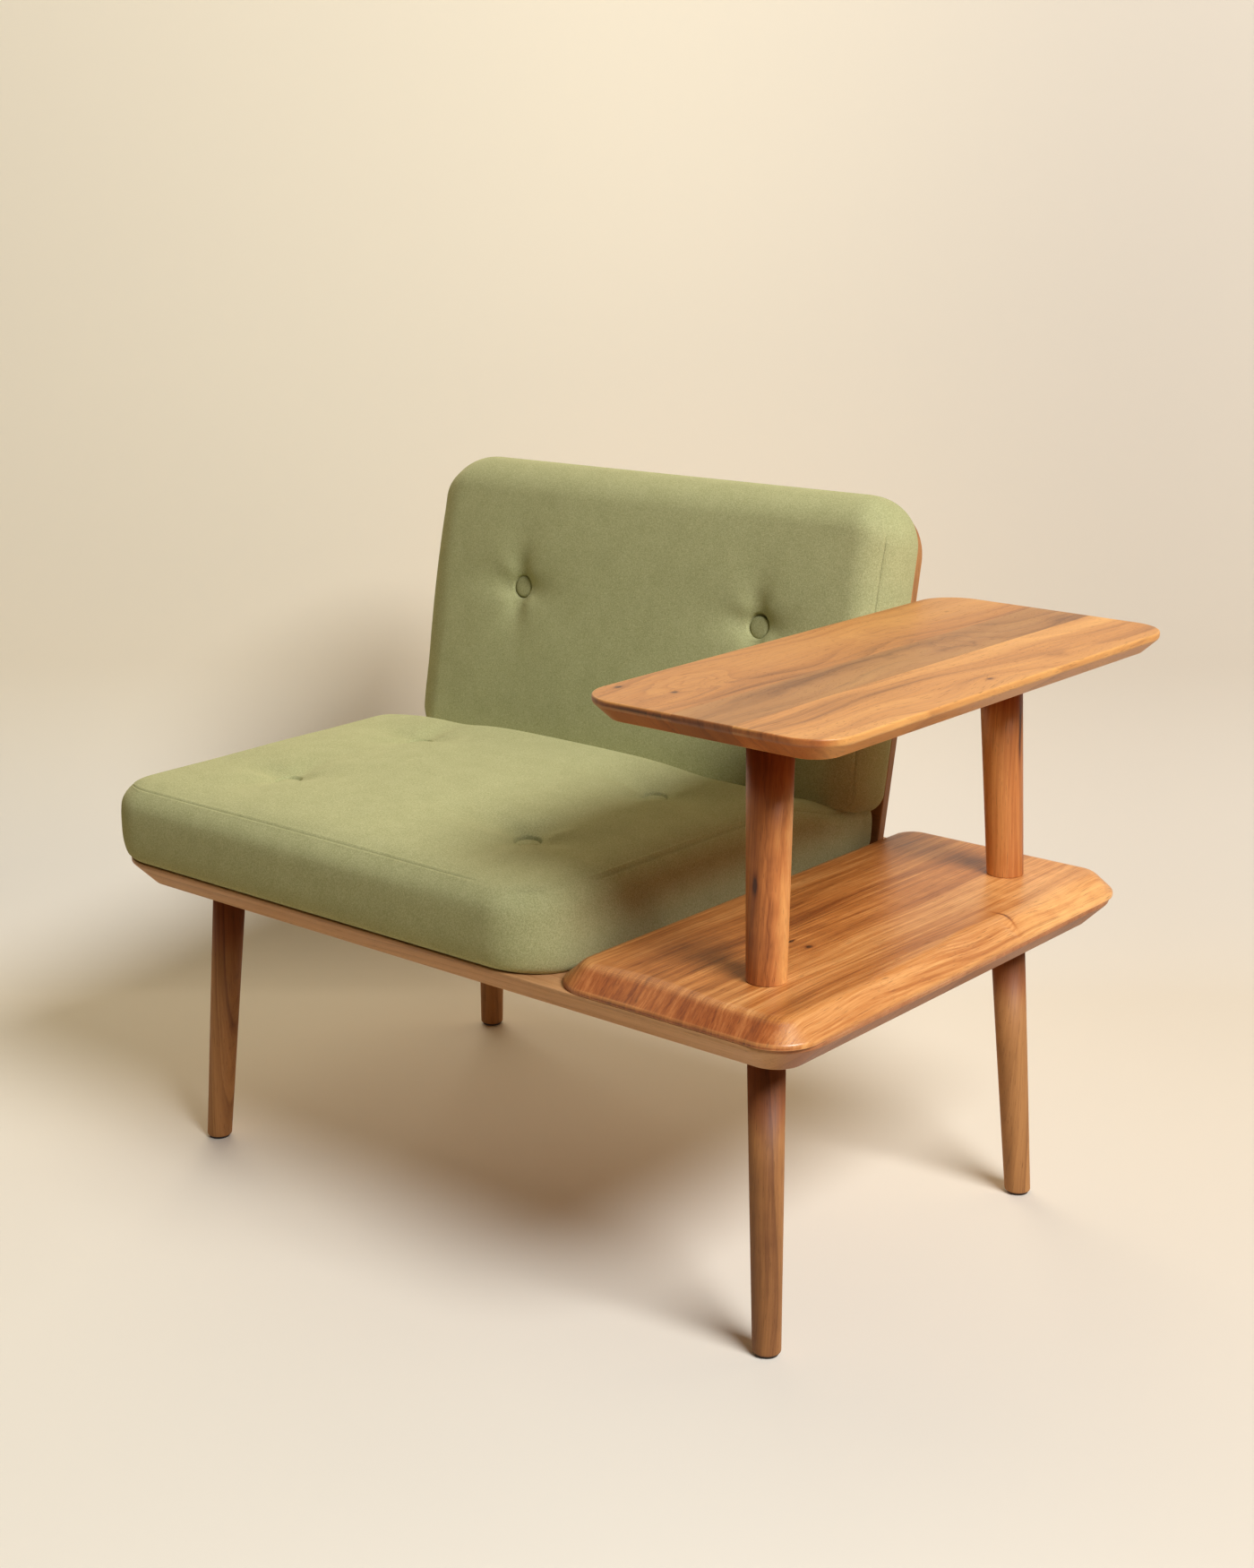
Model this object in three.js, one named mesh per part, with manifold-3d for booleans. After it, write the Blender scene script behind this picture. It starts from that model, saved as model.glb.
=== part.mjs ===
// Telephone bench, in millimetres with Z up. A padded seat with a reclined padded back stands at
// the left of one base board, a low table and a raised table stand at its right, and four splayed
// legs carry it all. X runs along the bench to the tables, Y runs from the front to the back.
import * as THREE from 'three';
import { mergeVertices } from 'three/addons/utils/BufferGeometryUtils.js';
import Module from 'manifold-3d';

const wasm = await Module();
wasm.setup();

// Fits: between touching pieces, round screws and bolts, and past a face that a cut goes through
const seatGap = 0.3;
const boreGap = 0.3;
const cutOverrun = 5;
const arris = 1.2;

// Base board: one slab whose long bevel underneath leaves a thin lip
const baseWidth = 893;
const baseDepth = 588;
const baseBottom = 300;
const baseThickness = 29;
const baseLip = 4;
const baseBevel = 25;
const baseCorner = 52;

// Legs and posts: a right leg and the post above it meet at the low table and share one taper, and
// the posts lean in less
const footSpreadX = 377.3;
const footSpreadY = 222.1;
const splayXShare = 0.062;
const splayYShare = 0.054;
const postSplayXShare = 0.04;
const postSplayYShare = 0.054;
const footRadius = 13.6;
const postHeadRadius = 21.8;
const footRounding = 2.5;
const footRoundingShare = 0.3;
const collarRounding = 1.2;

// Foot glides: a disc on the floor with a short pin up the leg
const glideRadius = 11;
const glideHeight = 3;
const glidePinRadius = 2.5;
const glidePinLength = 14;

// Low table: a slab on the base board with a wide bevel on top
const lowTableWidth = 274;
const lowTableThickness = 23;
const lowTableLip = 4.4;
const lowTableBevel = 20;
const lowTableCorner = 42;

// High table: a slab on the two posts with its bevel underneath
const highTableTop = 607;
const highTableWidth = 269;
const highTableDepth = 594;
const highTableThickness = 21.6;
const highTableLip = 4.6;
const highTableBevel = 16.5;
const highTableCorner = 42;
const highTableOverhang = 32.5;
const highTableArris = 1.8;
const highTableArrisShare = 0.3;

// Bolts: hanger bolts in threaded inserts, and studs that join a leg to a post
const boltRadius = 4;
const boltGripLength = 34;
const insertRadius = 6.5;
const baseInsertDepth = 21;
const highInsertDepth = 14;
const insertWall = insertRadius - boltRadius - boreGap;

// Countersunk wood screws
const screwRadius = 2;
const screwHeadRadius = 4;
const screwHeadDepth = 2.4;
const screwTip = 3;
const panelBite = 7;
const tableBite = 15;
const boardBite = 7;
const seatScrewShares = [0.66, 0.5];
const lowTableScrewShares = [0.5, 0.45];
const backScrewShares = [0.66, 0.5];

// Seat cushion, from the base board's left edge to the low table. Each side's seam stands out from
// the foot below it, or in where the size is negative
const seatFrontOverhang = 1;
const seatSideGap = 2.4;
const seatBand = 77;
const seatCrown = 25;
const seatBulge = 7.4;
const seatSeamOut = 0.5;
const seatSeamRight = -13;
const seatSeamRear = 6;
const seatRearBulgeShare = 0.3;
const seatRearGap = 2.5;
const seatCorner = 53;
const seatRearCorner = 12;
const seatPressDepth = 42;
const seatPressFar = 155;
const seatPressNear = 55;
const seatPressSpread = 14;
const seatTuftFront = 133.5;
const seatTuftRow = 197.5;
const seatTuftDepth = 20;
const seatTuftReach = 22;

// Back board and back cushion, measured along the reclined board from its lower edge
const recline = THREE.MathUtils.degToRad(11);
const boardSetback = 38;
const boardThickness = 11;
const boardHeight = 366;
const boardCorner = 56;
const backLift = 50;
const backHeight = 315;
const backBand = 70;
const backCrown = 13;
const backBulge = 7.4;
const backSeamOut = 4;
const backCorner = 50;
const backLowCorner = 22;
const backTaper = 5;
const backTuftHeight = 172;
const backTuftDepth = 13;
const backTuftReach = 20;

// Tufts, covered buttons and the plywood panels that they are tied to
const tuftColumn = 342;
const tuftSpan = 34;
const buttonRadius = 12;
const buttonRim = 1.4;
const buttonHeight = 5.4;
const buttonDomeShares = [[1, 0], [0.94, 0.45], [0.7, 0.82], [0, 1]];
const buttonSink = 1;
const tieRadius = 1.5;
const tieBite = 5;
const panelThickness = 9;
const panelInset = 18;
const panelCorner = 30;

// Steel angle brackets behind the back board
const bracketWidth = 44;
const bracketPlate = 3;
const bracketFoot = 30;
const bracketRise = 74;
const bracketShare = 0.56;
const bracketScrewSpacing = 24;
const bracketScrewInset = 9;

// Places worked out from the sizes above
const baseTop = baseBottom + baseThickness;
const lowTableTop = baseTop + lowTableThickness;
const highTableBottom = highTableTop - highTableThickness;
const baseRight = baseWidth / 2;
const baseFront = -baseDepth / 2;
const lowTableLeft = baseRight - lowTableWidth;
const seatLeft = -baseRight;
const seatRight = lowTableLeft - seatSideGap;
const boardRear = -baseFront - boardSetback;
const boardFoot = boardRear - boardThickness / Math.cos(recline);
const backRight = lowTableLeft - seatGap;
const cushionCentre = (seatLeft + backRight) / 2;
const cushionWidth = backRight - seatLeft;

// Steps round a full circle or a quarter of one
const turnSteps = 28;
const boreSteps = 12;
const screwSteps = 10;
const cornerSteps = 7;
const crownPower = 6;
const cornerShares = [1 / 3, 2 / 3, 1];
const tuftStepShares = [-1, -0.5, 0, 0.5, 1];
const acrossFillShares = [0.12, 0.4, 0.5, 0.6, 0.88];
const seatAlongFillShares = [0.14, 0.43, 0.75, 0.84];
const backAlongFillShares = [0.27, 0.4, 0.76];

const walnut = { color: 0x8a5a3a, roughness: 0.55 };
const acacia = { color: 0xb87542, roughness: 0.5 };
const felt = { color: 0x9aa671, roughness: 0.95 };
const plywood = { color: 0xc9a877, roughness: 0.8 };
const steel = { color: 0x9b9ca0, roughness: 0.4, metalness: 1 };
const blackSteel = { color: 0x2c2c2e, roughness: 0.55, metalness: 1 };
const glideFelt = { color: 0x2a2521, roughness: 0.9 };

const bench = new THREE.Group();

function piece(name, geometry, finish, parent = bench) {
  const mesh = new THREE.Mesh(geometry, new THREE.MeshStandardMaterial(finish));
  mesh.name = name;
  parent.add(mesh);
  return mesh;
}

// A geometry as a solid: shared corners merged, and triangles without area left out
function solidOf(geometry) {
  const bare = new THREE.BufferGeometry();
  bare.setAttribute('position', geometry.getAttribute('position'));
  bare.setIndex(geometry.getIndex());
  const merged = mergeVertices(bare);
  const corners = merged.getIndex().array;
  const kept = [];
  for (let i = 0; i < corners.length; i += 3) {
    const [a, b, c] = corners.slice(i, i + 3);
    if (a !== b && b !== c && c !== a) kept.push(a, b, c);
  }
  const triVerts = new Uint32Array(kept);
  const vertProperties = new Float32Array(merged.getAttribute('position').array);
  return new wasm.Manifold(new wasm.Mesh({ numProp: 3, vertProperties, triVerts }));
}

function geometryOf(solid) {
  const mesh = solid.getMesh();
  const geometry = new THREE.BufferGeometry();
  geometry.setAttribute('position', new THREE.BufferAttribute(mesh.vertProperties, 3));
  geometry.setIndex(new THREE.BufferAttribute(mesh.triVerts, 1));
  return geometry;
}

function cut(geometry, cutters) {
  return geometryOf(cutters.reduce((rest, cutter) => rest.subtract(solidOf(cutter)), solidOf(geometry)));
}

// A closed skin through rings of as many points each, from the lowest to the highest, with each
// ring running anticlockwise seen from above and flat ends
function loft(rings) {
  const count = rings[0].length;
  const positions = rings.flat(2);
  const index = [];
  for (let ring = 0; ring + 1 < rings.length; ring += 1) {
    for (let i = 0; i < count; i += 1) {
      const [a, b] = [ring * count + i, ring * count + ((i + 1) % count)];
      index.push(a, b, b + count, a, b + count, a + count);
    }
  }
  const last = (rings.length - 1) * count;
  for (let i = 1; i + 1 < count; i += 1) {
    index.push(0, i + 1, i);
    index.push(last, last + i, last + i + 1);
  }
  const geometry = new THREE.BufferGeometry();
  geometry.setAttribute('position', new THREE.Float32BufferAttribute(positions, 3));
  geometry.setIndex(index);
  return geometry;
}

// A level rounded rectangle, with one radius for each corner: back right, back left, then front
function roundedRing(plan, inset, z) {
  const [left, right] = [plan.left + inset, plan.right - inset];
  const [front, back] = [plan.front + inset, plan.back - inset];
  const corners = [[right, back], [left, back], [left, front], [right, front]];
  const points = [];
  corners.forEach(([x, y], corner) => {
    const radius = Math.max(plan.radii[corner] - inset, arris);
    const [towardX, towardY] = [corner === 1 || corner === 2 ? 1 : -1, corner < 2 ? -1 : 1];
    for (let step = 0; step <= cornerSteps; step += 1) {
      const angle = (corner + step / cornerSteps) * Math.PI / 2;
      points.push([x + radius * (towardX + Math.cos(angle)), y + radius * (towardY + Math.sin(angle)), z]);
    }
  });
  return points;
}

function plan(left, right, front, back, radius, frontRadius = radius) {
  return { left, right, front, back, radii: [radius, radius, frontRadius, frontRadius] };
}

// A slab from its plan and the inset of its edge at each height
function slab(outline, levels) {
  return loft(levels.map(([z, inset]) => roundedRing(outline, inset, z)));
}

// Where a corner's axis stands at a height: the leg's below the low table's top, the post's above
function axisAt(side, end, z) {
  const [low, high] = [Math.min(z, lowTableTop), Math.max(z - lowTableTop, 0)];
  return [
    side * (footSpreadX - splayXShare * low - postSplayXShare * high),
    end * (footSpreadY - splayYShare * low - postSplayYShare * high),
  ];
}

// A turned piece on a corner's leaning axis, from its radius at each height above the floor
function turning(side, end, levels, steps = turnSteps) {
  return loft(levels.map(([z, radius]) => {
    const [x, y] = axisAt(side, end, z);
    return Array.from({ length: steps }, (_, i) => {
      const angle = i / steps * 2 * Math.PI;
      return [x + radius * Math.cos(angle), y + radius * Math.sin(angle), z];
    });
  }));
}

function taper(z) {
  return footRadius + (postHeadRadius - footRadius) * z / highTableBottom;
}

function rod(side, end, bottom, top, radius) {
  const heights = [bottom, top];
  if (bottom < lowTableTop && top > lowTableTop) heights.splice(1, 0, lowTableTop);
  return turning(side, end, heights.map((z) => [z, radius]), boreSteps);
}

// A screw along Z, with its flat head at the origin and its tip below, or the hole that clears it
function screw(length, gap = 0) {
  const rise = gap > 0 ? cutOverrun : 0;
  const profile = [
    [0, -length - gap], [screwRadius + gap, screwTip - length], [screwRadius + gap, -screwHeadDepth],
    [screwHeadRadius + gap, 0], [screwHeadRadius + gap, rise], [0, rise],
  ].filter(([x, y], i, all) => i === 0 || x !== all[i - 1][0] || y !== all[i - 1][1]);
  const points = profile.map(([x, y]) => new THREE.Vector2(x, y));
  return new THREE.LatheGeometry(points, screwSteps).rotateX(Math.PI / 2);
}

// Screws at several places: turned to point up or down, they give both the pieces and the holes
function screwRow(name, places, length, turn, parent = bench) {
  const put = (geometry, [x, y, z]) => geometry.rotateX(turn).translate(x, y, z);
  places.forEach((place, i) => {
    piece(`${name}_${i + 1}`, put(screw(length), place), steel, parent);
  });
  return places.map((place) => put(screw(length, boreGap), place));
}

// Grid lines across a cushion between two seams, finest in the rounded corners and round the tufts
function gridLines(low, high, radius, tufts, fillShares) {
  const fromEdge = cornerShares.map((share) => share * radius);
  const round = tufts.flatMap((tuft) => tuftStepShares.map((share) => tuft + share * tuftSpan));
  const lines = [
    low, high, ...round, ...fromEdge.flatMap((inset) => [low + inset, high - inset]),
    ...fillShares.map((share) => low + share * (high - low)),
  ].sort((a, b) => a - b);
  return lines.filter((line, i) => i === 0 || line - lines[i - 1] > arris);
}

// A place of the square grid on the seam's rounded outline, with the way out from its rounded
// corner: each square corner of the grid is squeezed into a quarter circle
function squeeze(seam, x, y) {
  const radius = y > (seam.front + seam.back) / 2 ? seam.rearRadius : seam.radius;
  const coreX = THREE.MathUtils.clamp(x, seam.left + radius, seam.right - radius);
  const coreY = THREE.MathUtils.clamp(y, seam.front + radius, seam.back - radius);
  const [a, b] = [(x - coreX) / radius, (y - coreY) / radius];
  const [outX, outY] = [a * Math.sqrt(1 - b * b / 2), b * Math.sqrt(1 - a * a / 2)];
  return { x: coreX + radius * outX, y: coreY + radius * outY, outX, outY };
}

// The side of a cushion from its foot to its seam: heights, and how far each height bulges
const bandShares = [0, 0.1, 0.45, 0.88];
const bandBulgeShares = [0, 0.6, 1, 0.8];

// A cushion on the plane z = 0: a flat foot, a bulging band, and a crowned top with sewn tufts.
// The seam is its top outline, and each of out's values is how far that side stands out there
function cushion(form) {
  const { seam, out, band, crown, bulge, rearBulge, tufts, depth, reach, pressed, spread } = form;
  const centre = [(seam.left + seam.right) / 2, (seam.front + seam.back) / 2];
  const half = [(seam.right - seam.left) / 2, (seam.back - seam.front) / 2];
  const widest = Math.max(seam.radius, seam.rearRadius);
  const columns = gridLines(seam.left, seam.right, widest, tufts.columns, acrossFillShares);
  const rows = gridLines(seam.front, seam.back, widest, tufts.rows, form.fillShares);
  const rise = (offset, span) => 1 - Math.min(Math.abs(offset) / span, 1) ** crownPower;
  const height = (x, y) => {
    const full = rise(x - centre[0], half[0]) * rise(y - centre[1], half[1]);
    const reaches = tufts.columns.flatMap((tx) => tufts.rows.map((ty) => Math.hypot(x - tx, y - ty)));
    const sunk = reaches.reduce((sum, r) => sum + depth / (1 + (r / reach) ** 2), 0);
    return band - pressed(y) + full * (crown - sunk);
  };
  const [last, end] = [columns.length - 1, rows.length - 1];
  const rim = [
    ...columns.map((x) => [x, rows[0]]).slice(0, last),
    ...rows.map((y) => [columns[last], y]).slice(0, end),
    ...columns.map((_, i) => [columns[last - i], rows[end]]).slice(0, last),
    ...rows.map((_, j) => [columns[0], rows[end - j]]).slice(0, end),
  ].map(([x, y]) => squeeze(seam, x, y));
  const positions = [];
  bandShares.forEach((share, level) => {
    for (const { x, y, outX, outY } of rim) {
      const [swell, rear] = [bulge * bandBulgeShares[level], rearBulge * bandBulgeShares[level]];
      const sideX = swell + share * spread(y) - (1 - share) * (outX > 0 ? out.right : out.left);
      const sideY = outY > 0 ? rear - (1 - share) * out.back : swell - (1 - share) * out.front;
      positions.push(x + outX * sideX, y + outY * sideY, share * (band - pressed(y)));
    }
  });
  const firstTop = positions.length / 3;
  columns.forEach((gridX, i) => rows.forEach((gridY, j) => {
    const { x, y, outX } = squeeze(seam, gridX, gridY);
    const onRim = i === 0 || j === 0 || i === last || j === end;
    positions.push(x + outX * spread(y), y, onRim ? band - pressed(y) : height(x, y));
  }));
  const top = (i, j) => firstTop + i * rows.length + j;
  const topRim = [
    ...columns.map((_, i) => top(i, 0)).slice(0, last),
    ...rows.map((_, j) => top(last, j)).slice(0, end),
    ...columns.map((_, i) => top(last - i, end)).slice(0, last),
    ...rows.map((_, j) => top(0, end - j)).slice(0, end),
  ];
  const count = rim.length;
  const loops = [...bandShares.map((_, level) => rim.map((_, i) => level * count + i)), topRim];
  const index = [];
  for (let level = 0; level + 1 < loops.length; level += 1) {
    const [below, above] = [loops[level], loops[level + 1]];
    for (let i = 0; i < count; i += 1) {
      const next = (i + 1) % count;
      index.push(below[i], below[next], above[next], below[i], above[next], above[i]);
    }
  }
  for (let i = 1; i + 1 < count; i += 1) index.push(0, i + 1, i);
  for (let i = 0; i < last; i += 1) {
    for (let j = 0; j < end; j += 1) {
      const [a, b, c, d] = [top(i, j), top(i + 1, j), top(i + 1, j + 1), top(i, j + 1)];
      index.push(a, b, c, a, c, d);
    }
  }
  const geometry = new THREE.BufferGeometry();
  geometry.setAttribute('position', new THREE.Float32BufferAttribute(positions, 3));
  geometry.setIndex(index);
  return { geometry, height };
}

// A covered button with its tie: the origin is under the button, and the tie hangs below it
function button(tieLength) {
  const rise = buttonHeight - buttonRim;
  const dome = buttonDomeShares.map(([out, up]) => [buttonRadius * out, buttonRim + rise * up]);
  const profile = [[0, -tieLength], [tieRadius, -tieLength], [tieRadius, 0], [buttonRadius, 0], ...dome];
  const points = profile.map(([x, y]) => new THREE.Vector2(x, y));
  return new THREE.LatheGeometry(points, boreSteps).rotateX(Math.PI / 2);
}

function cylinder(radius, bottom, top, x, y) {
  const height = top - bottom;
  const geometry = new THREE.CylinderGeometry(radius, radius, height, boreSteps);
  return geometry.rotateX(Math.PI / 2).translate(x, y, (bottom + top) / 2);
}

// The buttons of a cushion whose foot lies on z = 0, and what they and the panel cut out of it
function buttoned(name, form, tufts, outline, parent) {
  const panel = plan(outline.left, outline.right, outline.front, outline.back, panelCorner);
  const pocket = slab(panel, [[-cutOverrun, -seatGap], [panelThickness + seatGap, -seatGap]]);
  const pockets = [pocket];
  const bores = [];
  tufts.rows.forEach((y, row) => tufts.columns.forEach((x, column) => {
    const floor = form.height(x, y) - buttonSink;
    const tieEnd = panelThickness - tieBite;
    const number = row * tufts.columns.length + column + 1;
    const mesh = piece(`${name}_button_${number}`, button(floor - tieEnd), felt, parent);
    mesh.position.set(x, y, floor);
    const above = floor + buttonHeight + cutOverrun;
    pockets.push(cylinder(buttonRadius + seatGap, floor - seatGap, above, x, y));
    pockets.push(cylinder(tieRadius + boreGap, panelThickness, floor, x, y));
    bores.push(cylinder(tieRadius + boreGap, tieEnd - boreGap, panelThickness + cutOverrun, x, y));
  }));
  return { pockets, bores, panel: slab(panel, [[0, 0], [panelThickness, 0]]) };
}

// Legs, posts and what joins them, corner by corner
const corners = [
  { name: 'front_left', side: -1, end: -1 }, { name: 'rear_left', side: -1, end: 1 },
  { name: 'front_right', side: 1, end: -1 }, { name: 'rear_right', side: 1, end: 1 },
];
const baseCuts = [];
const lowTableCuts = [];
const highTableCuts = [];

function glide({ name, side, end }) {
  const profile = [[0, glideRadius], [glideHeight, glideRadius]];
  const disc = solidOf(turning(side, end, profile, boreSteps));
  const pinTop = glideHeight + glidePinLength;
  const pin = solidOf(rod(side, end, glideHeight - arris, pinTop, glidePinRadius));
  piece(`glide_${name}`, geometryOf(disc.add(pin)), glideFelt);
}

function leg({ name, side, end }, cutters) {
  const foot = glideHeight;
  const rounded = foot + footRounding;
  const body = turning(side, end, [
    [foot, taper(foot) - footRounding],
    [foot + footRounding * footRoundingShare, taper(foot) - footRounding * footRoundingShare],
    [rounded, taper(rounded)], [baseBottom, taper(baseBottom)],
  ]);
  const pinTop = foot + glidePinLength + boreGap;
  const pinHole = rod(side, end, -cutOverrun, pinTop, glidePinRadius + boreGap);
  piece(`leg_${name}`, cut(body, [pinHole, ...cutters]), walnut);
}

// A threaded insert: a sleeve let into a board from below, round a bolt on the leaning axis
function insert(name, { side, end }, bottom, top) {
  const sleeve = solidOf(rod(side, end, bottom, top, insertRadius));
  const bore = solidOf(rod(side, end, bottom - cutOverrun, top + cutOverrun, insertRadius - insertWall));
  piece(name, geometryOf(sleeve.subtract(bore)), steel);
}

function boltedLeg(corner) {
  const { name, side, end } = corner;
  const [bottom, top] = [baseBottom - boltGripLength, baseBottom + baseInsertDepth];
  piece(`hanger_bolt_${name}`, rod(side, end, bottom, top, boltRadius), steel);
  insert(`insert_${name}`, corner, baseBottom, top);
  baseCuts.push(rod(side, end, baseBottom - cutOverrun, top + boreGap, insertRadius + boreGap));
  leg(corner, [rod(side, end, bottom - boreGap, baseBottom + cutOverrun, boltRadius + boreGap)]);
}

function post({ name, side, end }, cutters) {
  const body = turning(side, end, [
    [lowTableTop, taper(lowTableTop) - collarRounding],
    [lowTableTop + collarRounding, taper(lowTableTop)],
    [highTableBottom, taper(highTableBottom)],
  ]);
  piece(`post_${name}`, cut(body, cutters), acacia);
}

function legWithPost(corner) {
  const { name, side, end } = corner;
  const [bottom, top] = [baseBottom - boltGripLength, lowTableTop + boltGripLength];
  const clearance = boltRadius + boreGap;
  piece(`stud_${name}`, rod(side, end, bottom, top, boltRadius), steel);
  leg(corner, [rod(side, end, bottom - boreGap, baseBottom + cutOverrun, clearance)]);
  baseCuts.push(rod(side, end, baseBottom - cutOverrun, baseTop + cutOverrun, clearance));
  lowTableCuts.push(rod(side, end, baseTop - cutOverrun, lowTableTop + cutOverrun, clearance));
  const [headBottom, headTop] = [highTableBottom - boltGripLength, highTableBottom + highInsertDepth];
  piece(`post_bolt_${name}`, rod(side, end, headBottom, headTop, boltRadius), steel);
  insert(`post_insert_${name}`, corner, highTableBottom, headTop);
  const socket = insertRadius + boreGap;
  highTableCuts.push(rod(side, end, highTableBottom - cutOverrun, headTop + boreGap, socket));
  post(corner, [
    rod(side, end, lowTableTop - cutOverrun, top + boreGap, clearance),
    rod(side, end, headBottom - boreGap, highTableBottom + cutOverrun, clearance),
  ]);
}

corners.forEach(glide);
corners.filter(({ side }) => side < 0).forEach(boltedLeg);
corners.filter(({ side }) => side > 0).forEach(legWithPost);

// Screws through the base board from below, into the seat panel and into the low table
const seatFront = baseFront - seatFrontOverhang;
const seatBack = boardFoot - seatRearGap;
const seatCentreY = (seatFront + seatBack) / 2;
const cornerSides = [[-1, -1], [1, -1], [-1, 1], [1, 1]];

// Four places round a centre, at the given shares of a width and a depth
function fourPlaces(centreX, centreY, width, depth, [acrossShare, alongShare], z) {
  const [stepX, stepY] = [width * acrossShare / 2, depth * alongShare / 2];
  return cornerSides.map(([x, y]) => [centreX + x * stepX, centreY + y * stepY, z]);
}

const pointUp = Math.PI;
const seatPlaces = fourPlaces(
  cushionCentre, seatCentreY, cushionWidth, seatBack - seatFront, seatScrewShares, baseBottom);
const seatHoles = screwRow('seat_screw', seatPlaces, baseThickness + panelBite, pointUp);
const lowCentre = (lowTableLeft + baseRight) / 2;
const lowPlaces = fourPlaces(lowCentre, 0, lowTableWidth, baseDepth, lowTableScrewShares, baseBottom);
const lowHoles = screwRow('low_table_screw', lowPlaces, baseThickness + tableBite, pointUp);

// The low table's slab, or with a gap the room that it needs in the seat cushion beside it
const lowTablePlan = plan(lowTableLeft, baseRight, baseFront, -baseFront, lowTableCorner);

function lowTableSlab(gap = 0) {
  return slab(lowTablePlan, [
    [baseTop - gap, arris - gap], [baseTop + arris - gap, -gap], [baseTop + lowTableLip + gap, -gap],
    [lowTableTop - arris / 2 + gap, lowTableBevel - arris / 2 - gap],
    [lowTableTop + gap, lowTableBevel + arris / 2 - gap],
  ]);
}

// Seat: the panel on the base board, with the cushion over it
const seatSeam = {
  left: seatLeft - seatSeamOut, right: seatRight + seatSeamRight,
  front: seatFront - seatSeamOut, back: seatBack + seatSeamRear,
  radius: seatCorner, rearRadius: seatRearCorner,
};
const seatOut = { left: seatSeamOut, right: seatSeamRight, front: seatSeamOut, back: seatSeamRear };
const seatTufts = {
  columns: [cushionCentre - tuftColumn / 2, cushionCentre + tuftColumn / 2],
  rows: [seatFront + seatTuftFront, seatFront + seatTuftFront + seatTuftRow],
};

// The back cushion presses the rear of the seat down, and its sides spread there
function pressShare(y) {
  return THREE.MathUtils.smoothstep(y, boardFoot - seatPressFar, boardFoot - seatPressNear);
}

const seatGroup = new THREE.Group();
seatGroup.position.z = baseTop;
bench.add(seatGroup);
const seatForm = cushion({
  seam: seatSeam, out: seatOut, band: seatBand, crown: seatCrown,
  bulge: seatBulge, rearBulge: seatBulge * seatRearBulgeShare,
  tufts: seatTufts, depth: seatTuftDepth, reach: seatTuftReach, fillShares: seatAlongFillShares,
  pressed: (y) => seatPressDepth * pressShare(y), spread: (y) => seatPressSpread * pressShare(y),
});
const seatInner = {
  left: seatLeft + panelInset, right: seatRight - panelInset,
  front: seatFront + panelInset, back: seatBack - panelInset,
};
const seatParts = buttoned('seat', seatForm, seatTufts, seatInner, seatGroup);
const lowered = (geometry) => geometry.translate(0, 0, -baseTop);
const seatCuts = [...seatParts.pockets, lowered(lowTableSlab(seatGap))];
piece('seat_cushion', cut(seatForm.geometry, seatCuts), felt, seatGroup);
const seatPanelHoles = seatHoles.map((hole) => lowered(hole.clone()));
piece('seat_panel', cut(seatParts.panel, [...seatParts.bores, ...seatPanelHoles]), plywood, seatGroup);

// Back: a group that leans with the board, X across, Y up the board and Z forward from its rear
const back = new THREE.Group();
back.position.set(cushionCentre, boardRear, baseTop);
back.rotation.x = Math.PI / 2 - recline;
bench.add(back);
back.updateMatrixWorld(true);
const toBack = back.matrixWorld.clone().invert();

const backSeam = {
  left: -cushionWidth / 2 - backSeamOut, right: cushionWidth / 2 + backSeamOut,
  front: backLift, back: backLift + backHeight,
  radius: backLowCorner, rearRadius: backCorner,
};
const backOut = { left: backSeamOut, right: backSeamOut, front: backSeamOut, back: backSeamOut };
const backTufts = {
  columns: [-tuftColumn / 2, tuftColumn / 2],
  rows: [backLift + backTuftHeight],
};
const padGroup = new THREE.Group();
padGroup.position.z = boardThickness + seatGap;
back.add(padGroup);
const backForm = cushion({
  seam: backSeam, out: backOut, band: backBand, crown: backCrown,
  bulge: backBulge, rearBulge: backBulge,
  tufts: backTufts, depth: backTuftDepth, reach: backTuftReach, fillShares: backAlongFillShares,
  pressed: (y) => backTaper * (y - backLift) / backHeight, spread: () => 0,
});
const backInner = {
  left: -cushionWidth / 2 + panelInset, right: cushionWidth / 2 - panelInset,
  front: backLift + panelInset, back: backLift + backHeight - panelInset,
};
const backParts = buttoned('back', backForm, backTufts, backInner, padGroup);
piece('back_cushion', cut(backForm.geometry, backParts.pockets), felt, padGroup);

// Screws from the rear through the back board, into the back cushion's panel
const backPlaces = fourPlaces(
  0, backLift + backHeight / 2, cushionWidth, backHeight, backScrewShares, 0);
const backBiteLength = boardThickness + seatGap + panelBite;
const backHoles = screwRow('back_screw', backPlaces, backBiteLength, pointUp, back);
const liftedBack = (geometry) => geometry.translate(0, 0, -padGroup.position.z);
const backPanelHoles = backHoles.map((hole) => liftedBack(hole.clone()));
piece('back_panel', cut(backParts.panel, [...backParts.bores, ...backPanelHoles]), plywood, padGroup);

// Brackets: a bent plate with its foot on the base board and its rise up the board's rear face
const bracketCuts = [];
const bracketBaseCuts = [];

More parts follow.
